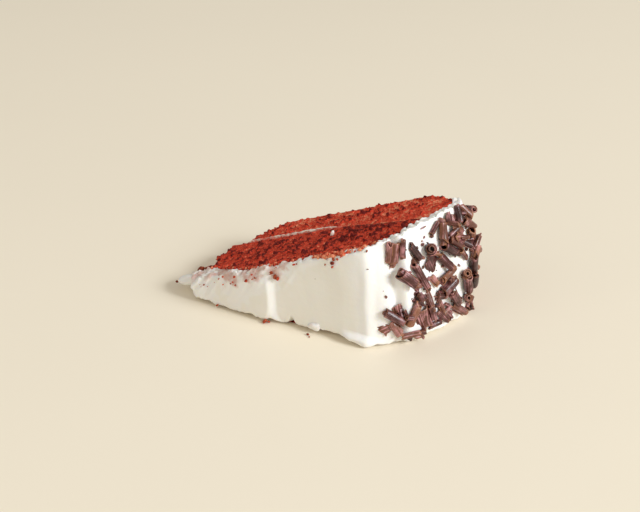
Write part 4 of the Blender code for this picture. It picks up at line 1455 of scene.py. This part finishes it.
class CAKE_OT_stage(bpy.types.Operator):
    """Builds the pale floor, the soft lights and the camera"""

    bl_idname = "cake.stage"
    bl_label = "Stage"

    def execute(self, context):
        scene = context.scene
        looks = scene.cake_stage
        paint = Paint("floor", Roughness=0.55)
        cloud = paint.noise(6.0, 3.0, 0.5)
        duller = [0.97 * c for c in looks.floor_colour[:3]] + [1.0]
        paint.finish(Base_Color=paint.blend(cloud, looks.floor_colour, duller))
        mesh = bpy.data.meshes.new("floor")
        sides = ((-1, -1), (1, -1), (1, 1), (-1, 1))
        corners = [(FLOOR_HALF * x, FLOOR_HALF * y, 0.0) for x, y in sides]
        mesh.from_pydata(corners, [], [(0, 1, 2, 3)])
        mesh.materials.append(paint.material)
        floor = add_object("floor", mesh)
        area_light("key", looks.key_power, *KEY_LIGHT)
        area_light("fill", looks.fill_power, *FILL_LIGHT)
        world = bpy.data.worlds.new("soft")
        world.use_nodes = True
        shade = world.node_tree.nodes["Background"]
        shade.inputs["Color"].default_value = SKY_COLOUR
        shade.inputs["Strength"].default_value = looks.sky_strength
        scene.world = world
        data = bpy.data.cameras.new("camera")
        data.lens = looks.lens
        data.clip_start = 0.01
        camera = add_object("camera", data)
        camera.matrix_world = camera_place()
        scene.camera = camera
        scene.view_settings.view_transform = "Standard"
        return {"FINISHED"}


class CAKE_PT_panel(bpy.types.Panel):
    """Lists the makers and the settings of the slice"""

    bl_label = "Cake slice"
    bl_space_type = "VIEW_3D"
    bl_region_type = "UI"
    bl_category = "Cake slice"

    def draw(self, context):
        for maker in MAKERS:
            self.layout.operator(maker.bl_idname)
        scene = context.scene
        for group in (scene.cake_looks, scene.cake_sizes, scene.cake_stage):
            box = self.layout.box()
            for key in group.__annotations__:
                box.prop(group, key)


MAKERS = (
    CAKE_OT_sponge, CAKE_OT_filling, CAKE_OT_frosting, CAKE_OT_chocolate, CAKE_OT_crumbs,
    CAKE_OT_stage,
)
CLASSES = (CakeLooks, CakeSizes, StageLooks, *MAKERS, CAKE_PT_panel)


def register():
    """Registers the classes and hangs the settings on the scene."""
    for each in CLASSES:
        bpy.utils.register_class(each)
    bpy.types.Scene.cake_looks = bpy.props.PointerProperty(type=CakeLooks)
    bpy.types.Scene.cake_sizes = bpy.props.PointerProperty(type=CakeSizes)
    bpy.types.Scene.cake_stage = bpy.props.PointerProperty(type=StageLooks)


def unregister():
    """Takes the settings and the classes away again."""
    del bpy.types.Scene.cake_looks
    del bpy.types.Scene.cake_sizes
    del bpy.types.Scene.cake_stage
    for each in reversed(CLASSES):
        bpy.utils.unregister_class(each)


def main():
    """Builds the slice and its stage."""
    register()
    bpy.ops.cake.sponge()
    bpy.ops.cake.filling()
    bpy.ops.cake.frosting()
    bpy.ops.cake.chocolate()
    bpy.ops.cake.crumbs()
    bpy.ops.cake.stage()
    bpy.context.view_layer.update()


if __name__ == "__main__":
    main()
